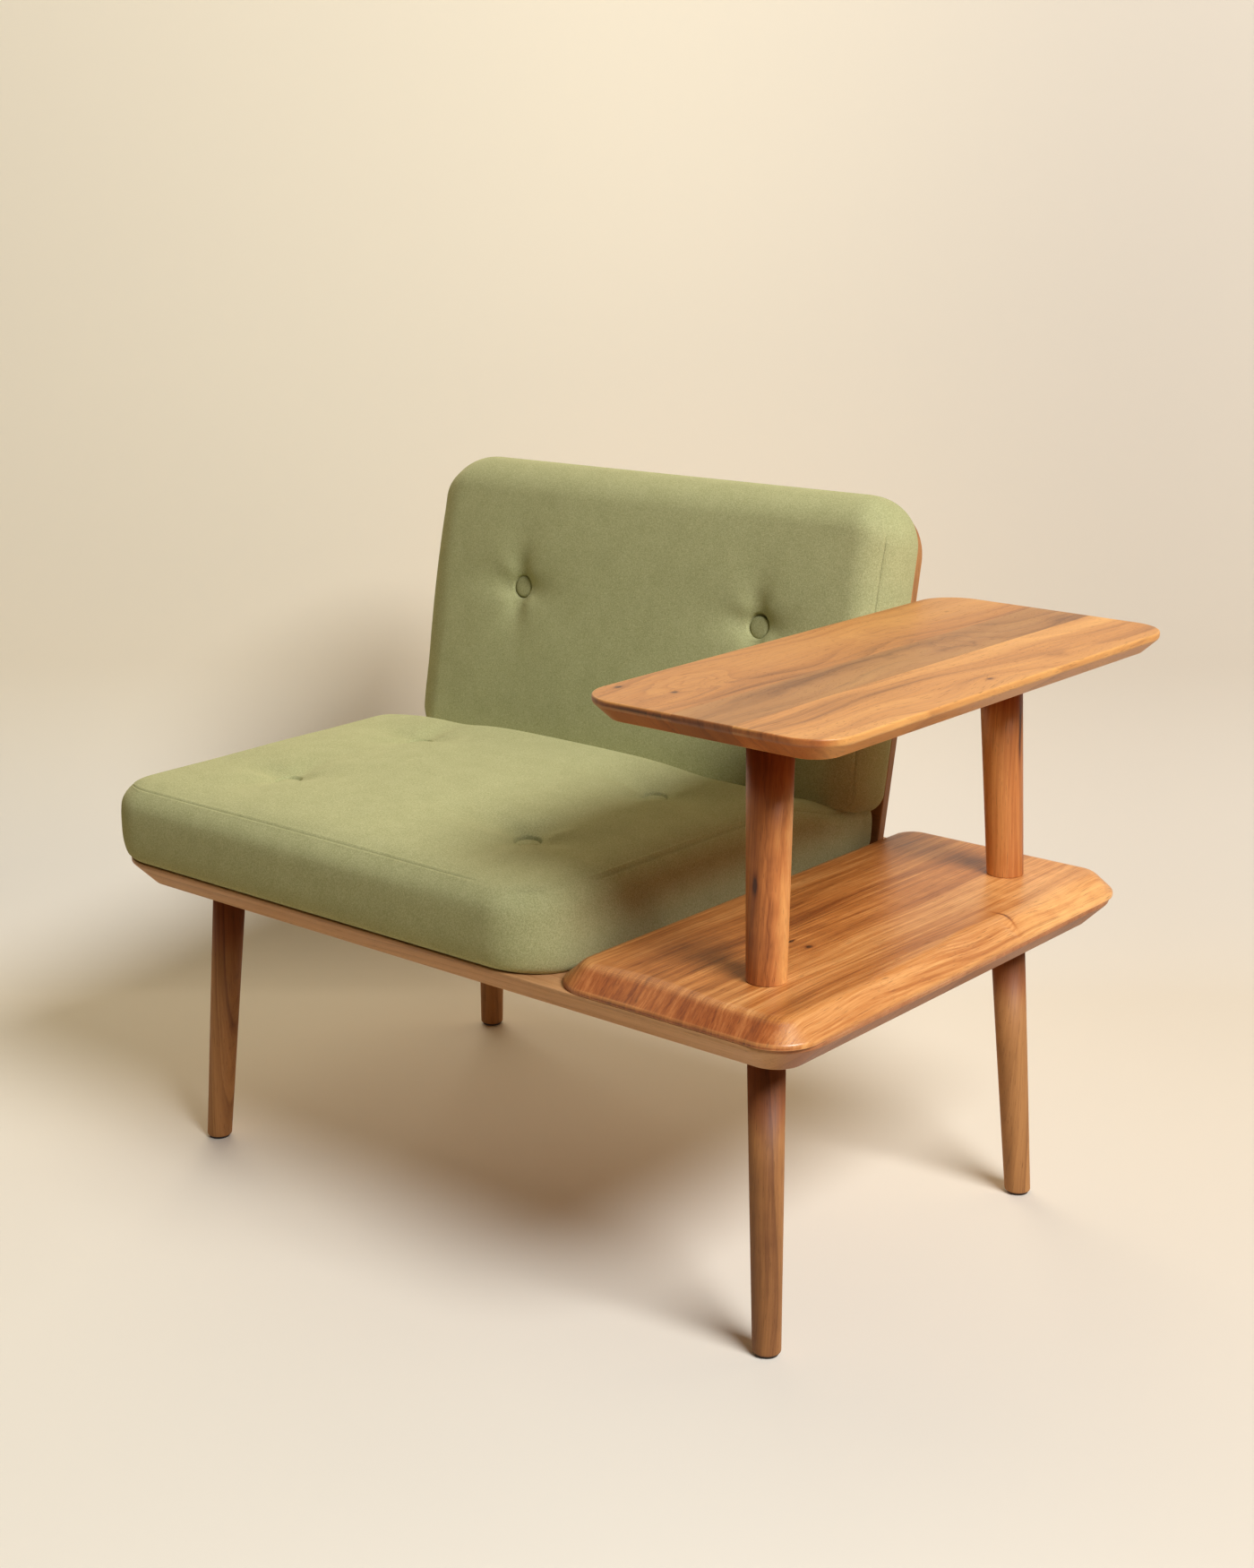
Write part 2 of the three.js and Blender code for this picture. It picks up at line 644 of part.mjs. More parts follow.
function bracket(name, x) {
  const [lean, level] = [Math.sin(recline), Math.cos(recline)];
  const fold = bracketPlate / level + bracketPlate * Math.tan(recline);
  const outline = new THREE.Shape([
    new THREE.Vector2(0, 0), new THREE.Vector2(bracketFoot, 0),
    new THREE.Vector2(bracketFoot, bracketPlate), new THREE.Vector2(fold, bracketPlate),
    new THREE.Vector2(bracketRise * lean + bracketPlate * level, bracketRise * level - bracketPlate * lean),
    new THREE.Vector2(bracketRise * lean, bracketRise * level),
  ]);
  const plate = new THREE.ExtrudeGeometry(outline, { depth: bracketWidth, bevelEnabled: false });
  const axes = new THREE.Matrix4().makeBasis(
    new THREE.Vector3(0, 1, 0), new THREE.Vector3(0, 0, 1), new THREE.Vector3(1, 0, 0));
  const rear = boardRear + seatGap / level;
  plate.applyMatrix4(axes).translate(x - bracketWidth / 2, rear, baseTop);
  const footY = rear + bracketFoot - bracketScrewInset;
  const offsets = [-bracketScrewSpacing / 2, bracketScrewSpacing / 2];
  const footPlaces = offsets.map((dx) => [x + dx, footY, baseTop + bracketPlate]);
  const footHoles = screwRow(`${name}_foot_screw`, footPlaces, bracketPlate + tableBite, 0);
  const risePlaces = offsets.map((dx) => [
    x + dx - cushionCentre, bracketRise - bracketScrewInset, -seatGap - bracketPlate,
  ]);
  const riseLength = bracketPlate + seatGap + boardBite;
  const riseHoles = screwRow(`${name}_rise_screw`, risePlaces, riseLength, pointUp, back);
  bracketBaseCuts.push(...footHoles);
  bracketCuts.push(...riseHoles);
  const risen = riseHoles.map((hole) => hole.clone().applyMatrix4(back.matrixWorld));
  piece(name, cut(plate, [...footHoles, ...risen]), blackSteel);
}

bracket('bracket_left', cushionCentre - cushionWidth * bracketShare / 2);
bracket('bracket_right', cushionCentre + cushionWidth * bracketShare / 2);

// Back board: rounded at the top, with its lower end cut level to stand on the base board
function backBoard() {
  const half = cushionWidth / 2;
  const outline = plan(-half, half, -boardThickness, boardHeight, boardCorner, arris);
  const board = slab(outline, [
    [0, arris], [arris, 0], [boardThickness - arris, 0], [boardThickness, arris],
  ]);
  const [width, depth] = [cushionWidth + 2 * cutOverrun, 4 * boardThickness];
  const under = new THREE.BoxGeometry(width, depth, depth);
  under.translate(cushionCentre, boardRear, baseTop + seatGap - depth / 2).applyMatrix4(toBack);
  return cut(board, [under, ...backHoles, ...bracketCuts]);
}

piece('back_board', backBoard(), walnut, back);

// Base board and tables, with the holes that their fasteners need
const basePlan = plan(-baseRight, baseRight, baseFront, -baseFront, baseCorner);
const base = slab(basePlan, [
  [baseBottom, baseBevel], [baseTop - baseLip, 0], [baseTop - arris, 0], [baseTop, arris],
]);
piece('base_board', cut(base, [...baseCuts, ...seatHoles, ...lowHoles, ...bracketBaseCuts]), walnut);

piece('low_table', cut(lowTableSlab(), [...lowTableCuts, ...lowHoles]), acacia);

const highTableRight = baseRight + highTableOverhang;
const highTablePlan = plan(
  highTableRight - highTableWidth, highTableRight, -highTableDepth / 2, highTableDepth / 2, highTableCorner);
const highTable = slab(highTablePlan, [
  [highTableBottom, highTableBevel], [highTableTop - highTableArris - highTableLip, 0],
  [highTableTop - highTableArris, 0],
  [highTableTop - highTableArris * highTableArrisShare, highTableArris * highTableArrisShare],
  [highTableTop, highTableArris],
]);
piece('high_table', cut(highTable, highTableCuts), acacia);

// The part's origin is on the floor, under the middle of its bounding box
const box = new THREE.Box3().setFromObject(bench, true);
const middle = box.getCenter(new THREE.Vector3());
bench.position.set(-middle.x, -middle.y, -box.min.z);
bench.updateMatrixWorld(true);

export default bench;
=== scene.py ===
"""Looks of the telephone bench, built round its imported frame: turned and bevelled boards in acacia
and walnut, a felted seat and back with sewn tufts, and the small fittings that hold them."""
import math
from types import SimpleNamespace

import bpy
import numpy as np
from mathutils import Matrix, Vector


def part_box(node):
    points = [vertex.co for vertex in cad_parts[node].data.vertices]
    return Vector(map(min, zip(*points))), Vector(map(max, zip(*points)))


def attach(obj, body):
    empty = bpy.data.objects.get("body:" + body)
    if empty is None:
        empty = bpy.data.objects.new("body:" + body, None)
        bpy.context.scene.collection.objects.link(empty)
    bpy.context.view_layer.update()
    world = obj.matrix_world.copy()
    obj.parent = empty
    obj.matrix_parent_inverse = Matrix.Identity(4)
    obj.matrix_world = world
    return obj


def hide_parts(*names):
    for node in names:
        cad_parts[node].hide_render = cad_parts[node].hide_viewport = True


bl_info = {
    "name": "Telephone bench looks",
    "version": (1, 0, 0),
    "blender": (4, 5, 0),
    "location": "3D View > Sidebar > Bench",
    "description": "Makes the visible pieces of a telephone bench round its frame",
    "category": "Object",
}

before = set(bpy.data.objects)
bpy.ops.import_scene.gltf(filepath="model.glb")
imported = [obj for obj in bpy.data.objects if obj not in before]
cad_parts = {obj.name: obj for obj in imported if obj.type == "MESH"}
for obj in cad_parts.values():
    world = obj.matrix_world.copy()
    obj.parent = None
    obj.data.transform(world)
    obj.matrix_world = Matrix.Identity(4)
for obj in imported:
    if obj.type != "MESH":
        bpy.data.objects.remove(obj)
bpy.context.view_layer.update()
BODY = "root"

# The base frame has its origin on the floor under the middle of the base board, X to the tables,
# Y to the back. Every size is in metres
base_low, base_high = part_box("base_board")
ORIGIN = np.array([(base_low.x + base_high.x) / 2, (base_low.y + base_high.y) / 2, 0.0])

# Boards. A lip is the upright part of an edge, a bevel is how far its slope goes in, and a flat
# inset is where a profile's level part ends. The gaps keep a piece just clear of its neighbour
BASE_HALF_WIDTH, BASE_HALF_DEPTH = 0.4465, 0.294
BASE_BOTTOM, BASE_TOP = 0.300, 0.329
BASE_LIP, BASE_BEVEL, BASE_CORNER = 0.004, 0.025, 0.052
LOW_LEFT, LOW_TOP = 0.1725, 0.352
LOW_LIP, LOW_BEVEL, LOW_CORNER = 0.0044, 0.020, 0.042
HIGH_LEFT, HIGH_RIGHT, HIGH_HALF_DEPTH = 0.210, 0.479, 0.297
HIGH_BOTTOM, HIGH_TOP = 0.5854, 0.607
HIGH_LIP, HIGH_BEVEL, HIGH_CORNER = 0.0064, 0.0165, 0.042
FLAT_INSET, LOW_FLAT_INSET = 0.020, 0.014
LOW_GAP, BACK_GAP, SEAT_GAP, BEVEL_GAP = 0.0001, 0.0003, 0.0002, 0.0004

# Legs and posts. They taper from foot to head, and a foot reaches down over its glide's upper part.
# The flat face that closes a foot underneath is smaller than its glide by FOOT_INSIDE
FOOT_X, FOOT_Y = 0.3773, 0.2221
SPLAY_X, SPLAY_Y, POST_SPLAY_X = 0.062, 0.054, 0.040
FOOT_RADIUS, HEAD_RADIUS = 0.0136, 0.0218
FOOT_ROUNDING, FOOT_OVERLAP, FOOT_RELIEF, FOOT_INSIDE = 0.0028, 0.0006, 0.0002, 0.002
POST_RING, POST_EASED = 0.004, 0.0012
LEG_MIDDLE, POST_MIDDLE, MIDDLE_EASED = 0.15, 0.47, 0.01
GLIDE_RADIUS, GLIDE_HEIGHT, GLIDE_EASED, GLIDE_CENTRE = 0.011, 0.003, 0.0008, 0.001
TURN_STEPS, SMALL_STEPS = 72, 48

# Back board, whose frame leans back from the base board: X across, Y up the board, Z forward
RECLINE = math.radians(11)
BOARD_REAR, BOARD_THICKNESS, BOARD_HEIGHT = 0.256, 0.011, 0.366
BOARD_CORNER, BOARD_FOOT_CORNER = 0.056, 0.001
CUSHION_CENTRE, CUSHION_WIDTH = -0.13715, 0.6187
PAD_LIFT = 0.0113

SHARP = 0.003  # an arris with this radius or a tighter one wears the most
FLAT_FACE_WEIGHT = 80
QUARTER = math.pi / 2


def linear(colour):
    """An sRGB hex colour as the linear colour that Blender's nodes take."""
    parts = np.array([int(colour[i:i + 2], 16) for i in (1, 3, 5)]) / 255
    straight = np.where(parts <= 0.04045, parts / 12.92, ((parts + 0.055) / 1.055) ** 2.4)
    return (*straight.tolist(), 1.0)


# Shapes


def put_mesh(name, points, faces, material, finish, nodes, uv=None, marks=None):
    """Makes a piece from points in the base frame. It rides on the body and stands for its nodes."""
    mesh = bpy.data.meshes.new(name)
    mesh.from_pydata((points + ORIGIN).tolist(), [], faces)
    if uv is not None:
        layer = mesh.uv_layers.new(name="Cloth")
        layer.data.foreach_set("uv", uv.astype(np.float32).ravel())
    for mark, values in (marks or {}).items():
        mesh.attributes.new(mark, "FLOAT", "POINT").data.foreach_set("value", values)
    mesh.materials.append(material)
    mesh.shade_smooth()
    mesh.update()
    piece = bpy.data.objects.new(name, mesh)
    bpy.context.scene.collection.objects.link(piece)
    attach(piece, BODY)
    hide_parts(*nodes)
    return piece


def flat_normals(piece):
    """Large flat faces keep their own direction, so that only the rounded arrises shade round."""
    piece.modifiers.new("flat faces", "WEIGHTED_NORMAL").weight = FLAT_FACE_WEIGHT


def ring_faces(rings, count):
    """Quads between rings of as many points each that run anticlockwise seen from above, from the
    lowest to the highest, with one flat face at each end."""
    here = np.arange(count)
    level = np.arange(rings - 1)[:, None] * count
    after = (here + 1) % count
    quads = np.stack([level + here, level + after, level + count + after, level + count + here], axis=2)
    last = (rings - 1) * count
    return quads.reshape(-1, 4).tolist() + [here[::-1].tolist(), (last + here).tolist()]


def grid_faces(index):
    """Quads between the points of a grid, given by their numbers."""
    corners = (index[:-1, :-1], index[:-1, 1:], index[1:, 1:], index[1:, :-1])
    return np.stack(corners, axis=2).reshape(-1, 4)


def softened(corners, steps=5):
    """A profile through corners given as (inset, height, cut): each corner's cut length is taken
    off both of its sides and bridged by a quadratic curve that leaves along them."""
    corners = np.array(corners, dtype=float)
    share = np.linspace(0, 1, steps + 1)[:, None]
    parts = [corners[:1, :2]]
    for before, corner, after in zip(corners, corners[1:], corners[2:]):
        here = corner[:2]
        start, end = (
            here + (other[:2] - here) / np.linalg.norm(other[:2] - here) * corner[2]
            for other in (before, after))
        parts.append((1 - share) ** 2 * start + 2 * share * (1 - share) * here + share ** 2 * end)
    return np.concatenate([*parts, corners[-1:, :2]])


def denser(profile, spacing):
    """The same profile with a point at least every spacing along it."""
    length = np.concatenate([[0], np.cumsum(np.hypot(*np.diff(profile, axis=0).T))])
    even = np.arange(0, length[-1], spacing)
    places = np.unique(np.concatenate([length, even]))
    places = places[np.concatenate([[True], np.diff(places) > spacing / 20])]
    return np.stack([np.interp(places, length, part) for part in profile.T], axis=1)


def rounded_rectangle(left, right, front, back, radii, side_steps=40, corner_steps=16):
    """Points round a rectangle with quarter-circle corners, and the way out at each: every point is
    its corner's centre plus the corner's radius along its own direction, and the centre and radius
    blend evenly along a side. The corners are back right, back left, front left, front right."""
    radii = np.array(radii, dtype=float)
    centres = np.array([[right, back], [left, back], [left, front], [right, front]], dtype=float)
    centres += radii[:, None] * np.array([[-1, -1], [1, -1], [1, 1], [-1, 1]])
    share = np.linspace(0, 1, side_steps + 1)[1:-1]
    anchor, radius, angle = [], [], []
    for corner in range(4):
        following = (corner + 1) % 4
        arc = np.linspace(corner, corner + 1, corner_steps + 1) * QUARTER
        anchor += [np.repeat(centres[corner:corner + 1], len(arc), axis=0),
                   centres[corner] + share[:, None] * (centres[following] - centres[corner])]
        radius += [np.full(len(arc), radii[corner]),
                   radii[corner] + share * (radii[following] - radii[corner])]
        angle += [arc, np.full(len(share), arc[-1])]
    anchor, radius, angle = map(np.concatenate, (anchor, radius, angle))
    out = np.stack([np.cos(angle), np.sin(angle)], axis=1)
    return anchor + radius[:, None] * out, out


def sharpness(profile):
    """How sharply a profile turns at each of its points: the angle between its two sides over their
    mean length, from 0 where it is straight to 1 at a radius of SHARP or less."""
    sides = np.diff(profile, axis=0)
    length = np.hypot(*sides.T)
    turn = np.abs(np.diff(np.unwrap(np.arctan2(sides[:, 1], sides[:, 0]))))
    return np.pad(np.clip(turn * 2 / (length[1:] + length[:-1]) * SHARP, 0, 1), 1)


def board(plan, profile, wander=None):
    """A board's rings: ring r is the plan moved inwards by the profile's inset r, at its height.
    wander adds to the inset, given the places on the outline and the profile's heights.
    The third result is how sharp the profile is at each point, by which the arrises wear."""
    edge, out = plan
    inset = np.repeat(profile[:, :1], len(edge), axis=1)
    if wander is not None:
        inset = inset + wander(edge, profile[:, 1:])
    flat = edge[None] - inset[..., None] * out[None]
    heights = np.repeat(profile[:, 1:], len(edge), axis=1)[..., None]
    points = np.concatenate([flat, heights], axis=2)
    wear = np.repeat(sharpness(profile), len(edge))
    return points.reshape(-1, 3), ring_faces(len(profile), len(edge)), wear


def put_board(name, node, plan, profile, material, finish, wander=None, placed=None):
    """Makes a board's piece, in the base frame or moved into it by the function placed."""
    points, faces, wear = board(plan, profile, wander)
    points = placed(points) if placed else points
    flat_normals(put_mesh(name, points, faces, material, finish, [node], marks={"wear": wear}))


# How a bevel planed by hand wanders: place along the edge, half length, and how much wider it is
RIGHT_WANDER = ((-0.165, 0.045, -0.0045), (0.022, 0.035, 0.0065), (0.118, 0.030, -0.0045),
                (-0.090, 0.012, -0.0012), (0.200, 0.020, 0.0015))
FRONT_WANDER = ((0.275, 0.050, 0.0070), (0.360, 0.020, -0.0015))
WANDER_FADE, PLANED_SPACING = 0.030, 0.0016
DENT_PLACE, DENT_HALF, DENT_DEPTH, DENT_SLANT = 0.079, 0.0045, 0.0022, 0.012
DENT_MIDDLE_SHARE, DENT_RUN = 0.6, 1.1


def planed_by_hand(edge, height):
    """How far the low table's bevel wanders at its upper border, fading to nothing at the lip: a sum
    of swells size * exp(-((place - middle) / half length) squared), and one slanting dent on the
    right."""
    share = np.clip((height - BASE_TOP - LOW_LIP) / (LOW_TOP - BASE_TOP - LOW_LIP), 0, 1)
    x, y = edge.T[:, None]

    def swells(place, waves):
        return sum(size * np.exp(-((place - middle) / half) ** 2) for middle, half, size in waves)

    on_right = smooth_step(x, BASE_HALF_WIDTH - WANDER_FADE, BASE_HALF_WIDTH)
    on_front = smooth_step(-y, BASE_HALF_DEPTH - WANDER_FADE, BASE_HALF_DEPTH)
    drift = on_right * swells(y, RIGHT_WANDER) + on_front * swells(x, FRONT_WANDER)
    askew = (share - DENT_MIDDLE_SHARE) * DENT_SLANT
    dent = on_right * np.exp(-((y - DENT_PLACE + askew) / DENT_HALF) ** 2)
    return share * drift + DENT_DEPTH * dent * np.sin(math.pi * np.clip(share * DENT_RUN, 0, 1))


def axis_at(side, end, height):
    """Where a corner's leaning axis stands at a height: the leg's up to the low table's top, and
    the post's above it, which leans in less."""
    low, high = np.minimum(height, LOW_TOP), np.maximum(height - LOW_TOP, 0)
    x = side * (FOOT_X - SPLAY_X * low - POST_SPLAY_X * high)
    return x, end * (FOOT_Y - SPLAY_Y * (low + high))


def taper(height):
    """A leg's and its post's radius at a height: one straight taper from the foot to the head."""
    return FOOT_RADIUS + (HEAD_RADIUS - FOOT_RADIUS) * height / HIGH_BOTTOM


def turned(profile, centre, steps):
    """A turned piece: level circles of the profile's radius at each of its heights, round the
    centre that the function centre gives for that height."""
    radius, height = profile.T
    angle = np.arange(steps) / steps * 2 * math.pi
    x, y = centre(height)
    points = np.stack([
        x[:, None] + radius[:, None] * np.cos(angle), y[:, None] + radius[:, None] * np.sin(angle),
        np.repeat(height[:, None], steps, axis=1)], axis=2)
    return points.reshape(-1, 3), ring_faces(len(profile), steps)


def put_turned(name, node, profile, centre, steps, material, finish):
    """Makes a turned leg's or post's piece."""
    flat_normals(put_mesh(name, *turned(profile, centre, steps), material, finish, [node]))


def standing(x, y):
    """A centre that stays at one place, for a piece turned about an upright axis."""
    return lambda height: (np.full_like(height, x), np.full_like(height, y))


def on_board(points):
    """From the leaning board's frame to the base frame."""
    x, y, z = points.T
    up, forward = math.cos(RECLINE), math.sin(RECLINE)
    return np.stack([
        CUSHION_CENTRE + x, BOARD_REAR + forward * y - up * z, BASE_TOP + up * y + forward * z], axis=1)


# Cushions


def smooth_step(value, low, high):
    """0 up to low and 1 from high on, with 3t squared - 2t cubed at share t of the way between."""
    share = np.clip((value - low) / (high - low), 0, 1)
    return share * share * (3 - 2 * share)


def fall_over(value, low, high):
    """(1 - t) squared at share t of the way from low to high: 1 at low, and level at high."""
    return (1 - np.clip((value - low) / (high - low), 0, 1)) ** 2


# The seat's seam runs a little inside its edge, and at its right a little below the edge. It fades
# out round the front right corner
SEAM_INSIDE, SEAM_TURN, SEAM_TURN_START, SEAM_TURN_END = 0.005, 0.008, 0.10, 0.15
SEAT_CORNER_X, SEAT_CORNER_Y, CORNER_FADE_START, CORNER_FADE_END = 0.157, -0.2955, 0.045, 0.105

# The back cushion presses the seat's rear down, less at the right, and the seat spreads there
PRESS_START, PRESS_END, PRESS_SPREAD = 0.08979, 0.18979, 0.014
PRESS_DEPTH, PRESS_LESS, PRESS_LESS_START, PRESS_LESS_END = 0.034, 0.014, 0.05, 0.15

# The back cushion gets a little thinner upwards. Its face has a shoulder at all edges but the lower
# one, where it isn't drawn in either. It is drawn in less at its top, where its seam fades out, and
# its left side bulges
SLOPE_WIDTH, BACK_SHOULDER = 0.034, 0.0155
BACK_HALF_WIDTH, BACK_FOOT, BACK_THINNING, THINNING_START = 0.31335, 0.041, 0.005 / 0.315, 0.050
TUCK_START, TUCK_END = 0.055, 0.130
TOP_UNTUCK, TOP_UNTUCK_START, TOP_UNTUCK_END = 0.4, 0.300, 0.350
TOP_FADE_START, TOP_FADE_END = 0.322, 0.352
LEFT_BULGE, LEFT_BULGE_PLACE, LEFT_BULGE_HALF = 0.0145, 0.245, 0.200

# It was fitted a little askew: its top is this much higher, and climbs to the right
BACK_RAISED, BACK_TILT = 0.0009, 0.0115

# Each cushion's sizes are in its own frame, with its foot at z 0 and its crown upwards. out_ is how
# far its foot goes in from its rim on a side
SEAT = SimpleNamespace(
    left=-0.447, right=0.1571, front=-0.2955, back=0.24829, radius=0.053, rear_radius=0.028,
    out_left=0.0005, out_right=-0.013, out_front=0.0005, out_back=0.006,
    band=0.077, crown=0.026, slope=0.006, shoulder=0.006, drop=0.018, bulge=0.0074, rear_bulge=0.0022,
    tufts=[(CUSHION_CENTRE + x, y) for y in (-0.1615, 0.036) for x in (-0.171, 0.171)],
    depth=0.019, reach=0.036, pit=0.0048, button_rim=0.0042, button_top=0.0070,
    hidden=lambda x, y: 1 - smooth_step(
        np.hypot(x - SEAT_CORNER_X, y - SEAT_CORNER_Y), CORNER_FADE_START, CORNER_FADE_END),
    pressed=lambda x, y: smooth_step(y, PRESS_START, PRESS_END) * (
        PRESS_DEPTH - PRESS_LESS * smooth_step(x, PRESS_LESS_START, PRESS_LESS_END)),
    spread=lambda x, y: PRESS_SPREAD * smooth_step(y, PRESS_START, PRESS_END),
    tucked=lambda y: np.ones_like(y),
    seam=lambda x, y: SEAM_INSIDE - SEAM_TURN * smooth_step(x, SEAM_TURN_START, SEAM_TURN_END),
)
BACK = SimpleNamespace(
    left=-BACK_HALF_WIDTH, right=BACK_HALF_WIDTH, front=BACK_FOOT, back=0.365,
    radius=0.020, rear_radius=0.050, out_left=0.004, out_right=0.004, out_front=0.004, out_back=0.004,
    band=0.067, crown=0.0245, slope=BACK_SHOULDER, shoulder=0.006, drop=0.040,
    bulge=0.0074, rear_bulge=0.0074, tufts=[(-0.174, 0.222), (0.1685, 0.219)],
    depth=0.0185, reach=0.022, pit=0.0048, button_rim=0.0070, button_top=0.0098,
    hidden=lambda x, y: smooth_step(y, TOP_FADE_START, TOP_FADE_END),
    pressed=lambda x, y: BACK_THINNING * (y - THINNING_START) - (
        BACK_SHOULDER * fall_over(y, BACK_FOOT, BACK_FOOT + SLOPE_WIDTH)
        * (1 - fall_over(BACK_HALF_WIDTH - np.abs(x), 0.0, SLOPE_WIDTH))),
    tucked=lambda y: (smooth_step(y, TUCK_START, TUCK_END)
                      - TOP_UNTUCK * smooth_step(y, TOP_UNTUCK_START, TOP_UNTUCK_END)),
    spread=lambda x, y: np.where(x < 0, LEFT_BULGE, 0.0) * np.clip(
        1 - ((y - LEFT_BULGE_PLACE) / LEFT_BULGE_HALF) ** 2, 0, 1),
    seam=lambda x, y: np.zeros_like(y),
)

# A cushion's grid: even lines, lines at these distances from its seams, lines round its tufts, and
# rings down its band that end at these heights above its foot
FINE, CLOSEST_LINES = 0.0032, 0.0008
SEAM_STEPS = (0.0, 0.0005, 0.001, 0.0016, 0.0024, 0.0035, 0.005, 0.0075)
TUFT_AROUND, TUFT_LINES = 0.024, 49
BAND_STEP, FOOT_CLEAR, FOOT_STEPS = 0.003, 0.004, (0.0035, 0.002, 0.0009, 0.0)

# The pinch and the swell at its seams, its folded foot, and its crown
SEAM_PINCH, SEAM_WIDTH = 0.0005, 0.0008
SEAM_PUFF, PUFF_PLACE, PUFF_WIDTH = 0.0004, 0.0032, 0.0016
SEAM_FADED, FAR_FROM_SEAM, CLOTH_UNDER = 0.01, 0.02, 0.02
FOOT_FOLD, FOOT_HEIGHT = 0.0045, 0.007
FOOT_KEPT = np.array([0.96, 0.94, 1.0])
CROWN_POWER, RADIUS_BLEND = 3, 0.09

# A tuft's four lobes and its pit, and the button in it
LOBES, LOBE_SHARE, LOBE_START, LOBE_END = 4, 0.22, 0.008, 0.030
PIT_START, PIT_END = 0.0127, 0.0146
BUTTON_RADIUS, BUTTON_SINK, BUTTON_POWER = 0.0124, 0.0005, 0.6
BUTTON_STEPS, BUTTON_SWEEP, BUTTON_FOLD = 14, 0.985, ((0.8, 0.0), (0.96, 0.0003))


def grid_lines(low, high, tufts):
    """Even lines across a cushion, closer together at its seams and round its tufts."""
    even = np.linspace(low, high, int((high - low) / FINE) + 1)
    steps = np.array(SEAM_STEPS)
    near = np.concatenate([steps, SEAM_INSIDE + steps[:6], SEAM_INSIDE - steps[1:4]])
    around = [tuft + np.linspace(-TUFT_AROUND, TUFT_AROUND, TUFT_LINES) for tuft in tufts]
    taken = np.concatenate([low + near, high - near, *around])
    clear = np.min(np.abs(even[:, None] - taken[None]), axis=1) > CLOSEST_LINES
    return np.unique(np.round(np.concatenate([even[clear], taken]), 6))


def squeeze(form, x, y):
    """A place of the square grid on the rounded outline, and the way out: in a corner square with
    shares a and b of its radius, the place is a * sqrt(1 - b*b/2), b * sqrt(1 - a*a/2)."""
    middle = (form.front + form.back) / 2
    rearwards = smooth_step(y, middle - RADIUS_BLEND, middle + RADIUS_BLEND)
    radius = form.radius + (form.rear_radius - form.radius) * rearwards
    core_x = np.clip(x, form.left + radius, form.right - radius)
    core_y = np.clip(y, form.front + radius, form.back - radius)
    a, b = (x - core_x) / radius, (y - core_y) / radius
    out_x, out_y = a * np.sqrt(1 - b * b / 2), b * np.sqrt(1 - a * a / 2)
    return core_x + radius * out_x, core_y + radius * out_y, out_x, out_y


def tuft_sink(form, x, y):
    """How far the tufts pull the top down: depth / (1 + (r / reach) squared) round each, where the
    reach is longer along the cloth's threads, so that four soft valleys run out of each tuft. Under
    the button the top drops into a steep pit, which shows as a dark ring round it."""
    sunk = 0
    for tuft_x, tuft_y in form.tufts:
        dx, dy = x - tuft_x, y - tuft_y
        distance = np.hypot(dx, dy)
        lobes = 1 + LOBE_SHARE * np.cos(LOBES * np.arctan2(dy, dx)) * smooth_step(
            distance, LOBE_START, LOBE_END)
        sunk = sunk + form.depth / (1 + (distance / (form.reach * lobes)) ** 2)
        sunk = sunk + form.pit * (1 - smooth_step(distance, PIT_START, PIT_END))
    return sunk


def crown_height(form, x, y):
    """Height of the top above the cushion's foot: the band, then a shoulder that rises by the slope
    times 1 - (1 - t) squared, where t is the share of its width passed, then a low dome of
    1 - |offset / half| cubed, both taken both ways, less what the tufts and the back press down."""
    def rises(value, low, high):
        offset = np.minimum(np.abs(value - (low + high) / 2) / ((high - low) / 2), 1)
        passed = np.minimum((1 - offset) * (high - low) / 2 / SLOPE_WIDTH, 1)
        return 1 - (1 - passed) ** 2, 1 - offset ** CROWN_POWER

    shoulder_x, dome_x = rises(x, form.left, form.right)
    shoulder_y, dome_y = rises(y, form.front, form.back)
    shoulder = shoulder_x * shoulder_y
    dome = (form.crown - form.slope) * dome_x * dome_y
    return form.band - form.pressed(x, y) + shoulder * (form.slope - tuft_sink(form, x, y)) + dome


def seam_relief(distance):
    """Height of the cloth beside a seam: a narrow pinch at the stitches, a low swell next to it."""
    pinch = SEAM_PINCH * np.exp(-(distance / SEAM_WIDTH) ** 2)
    return SEAM_PUFF * np.exp(-((distance - PUFF_PLACE) / PUFF_WIDTH) ** 2) - pinch


def cushion_top(form, grid_x, grid_y):
    """The crowned top and each point's distance from the seam. The third result is what the band
    needs at the rim: the grid's place, the place on the outline, the way out, how far the seam shows
    and how far inside the edge it runs."""
    x, y, out_x, out_y = squeeze(form, grid_x, grid_y)
    shown, seam_place = 1 - form.hidden(grid_x, grid_y), form.seam(grid_x, grid_y)
    inset = np.minimum.reduce([
        grid_x - form.left, form.right - grid_x, grid_y - form.front, form.back - grid_y])
    from_seam = np.abs(inset - seam_place)
    z = crown_height(form, grid_x, grid_y) + shown * seam_relief(from_seam)
    drawn_in = form.shoulder * np.hypot(out_x, out_y) ** 2 * form.tucked(grid_y)
    top = np.stack([
        x + out_x * (form.spread(grid_x, grid_y) - drawn_in), y - out_y * drawn_in, z], axis=2)
    places = (grid_x, grid_y, x, y, out_x, out_y, shown, seam_place)
    return top, from_seam + SEAM_FADED * (1 - shown), places


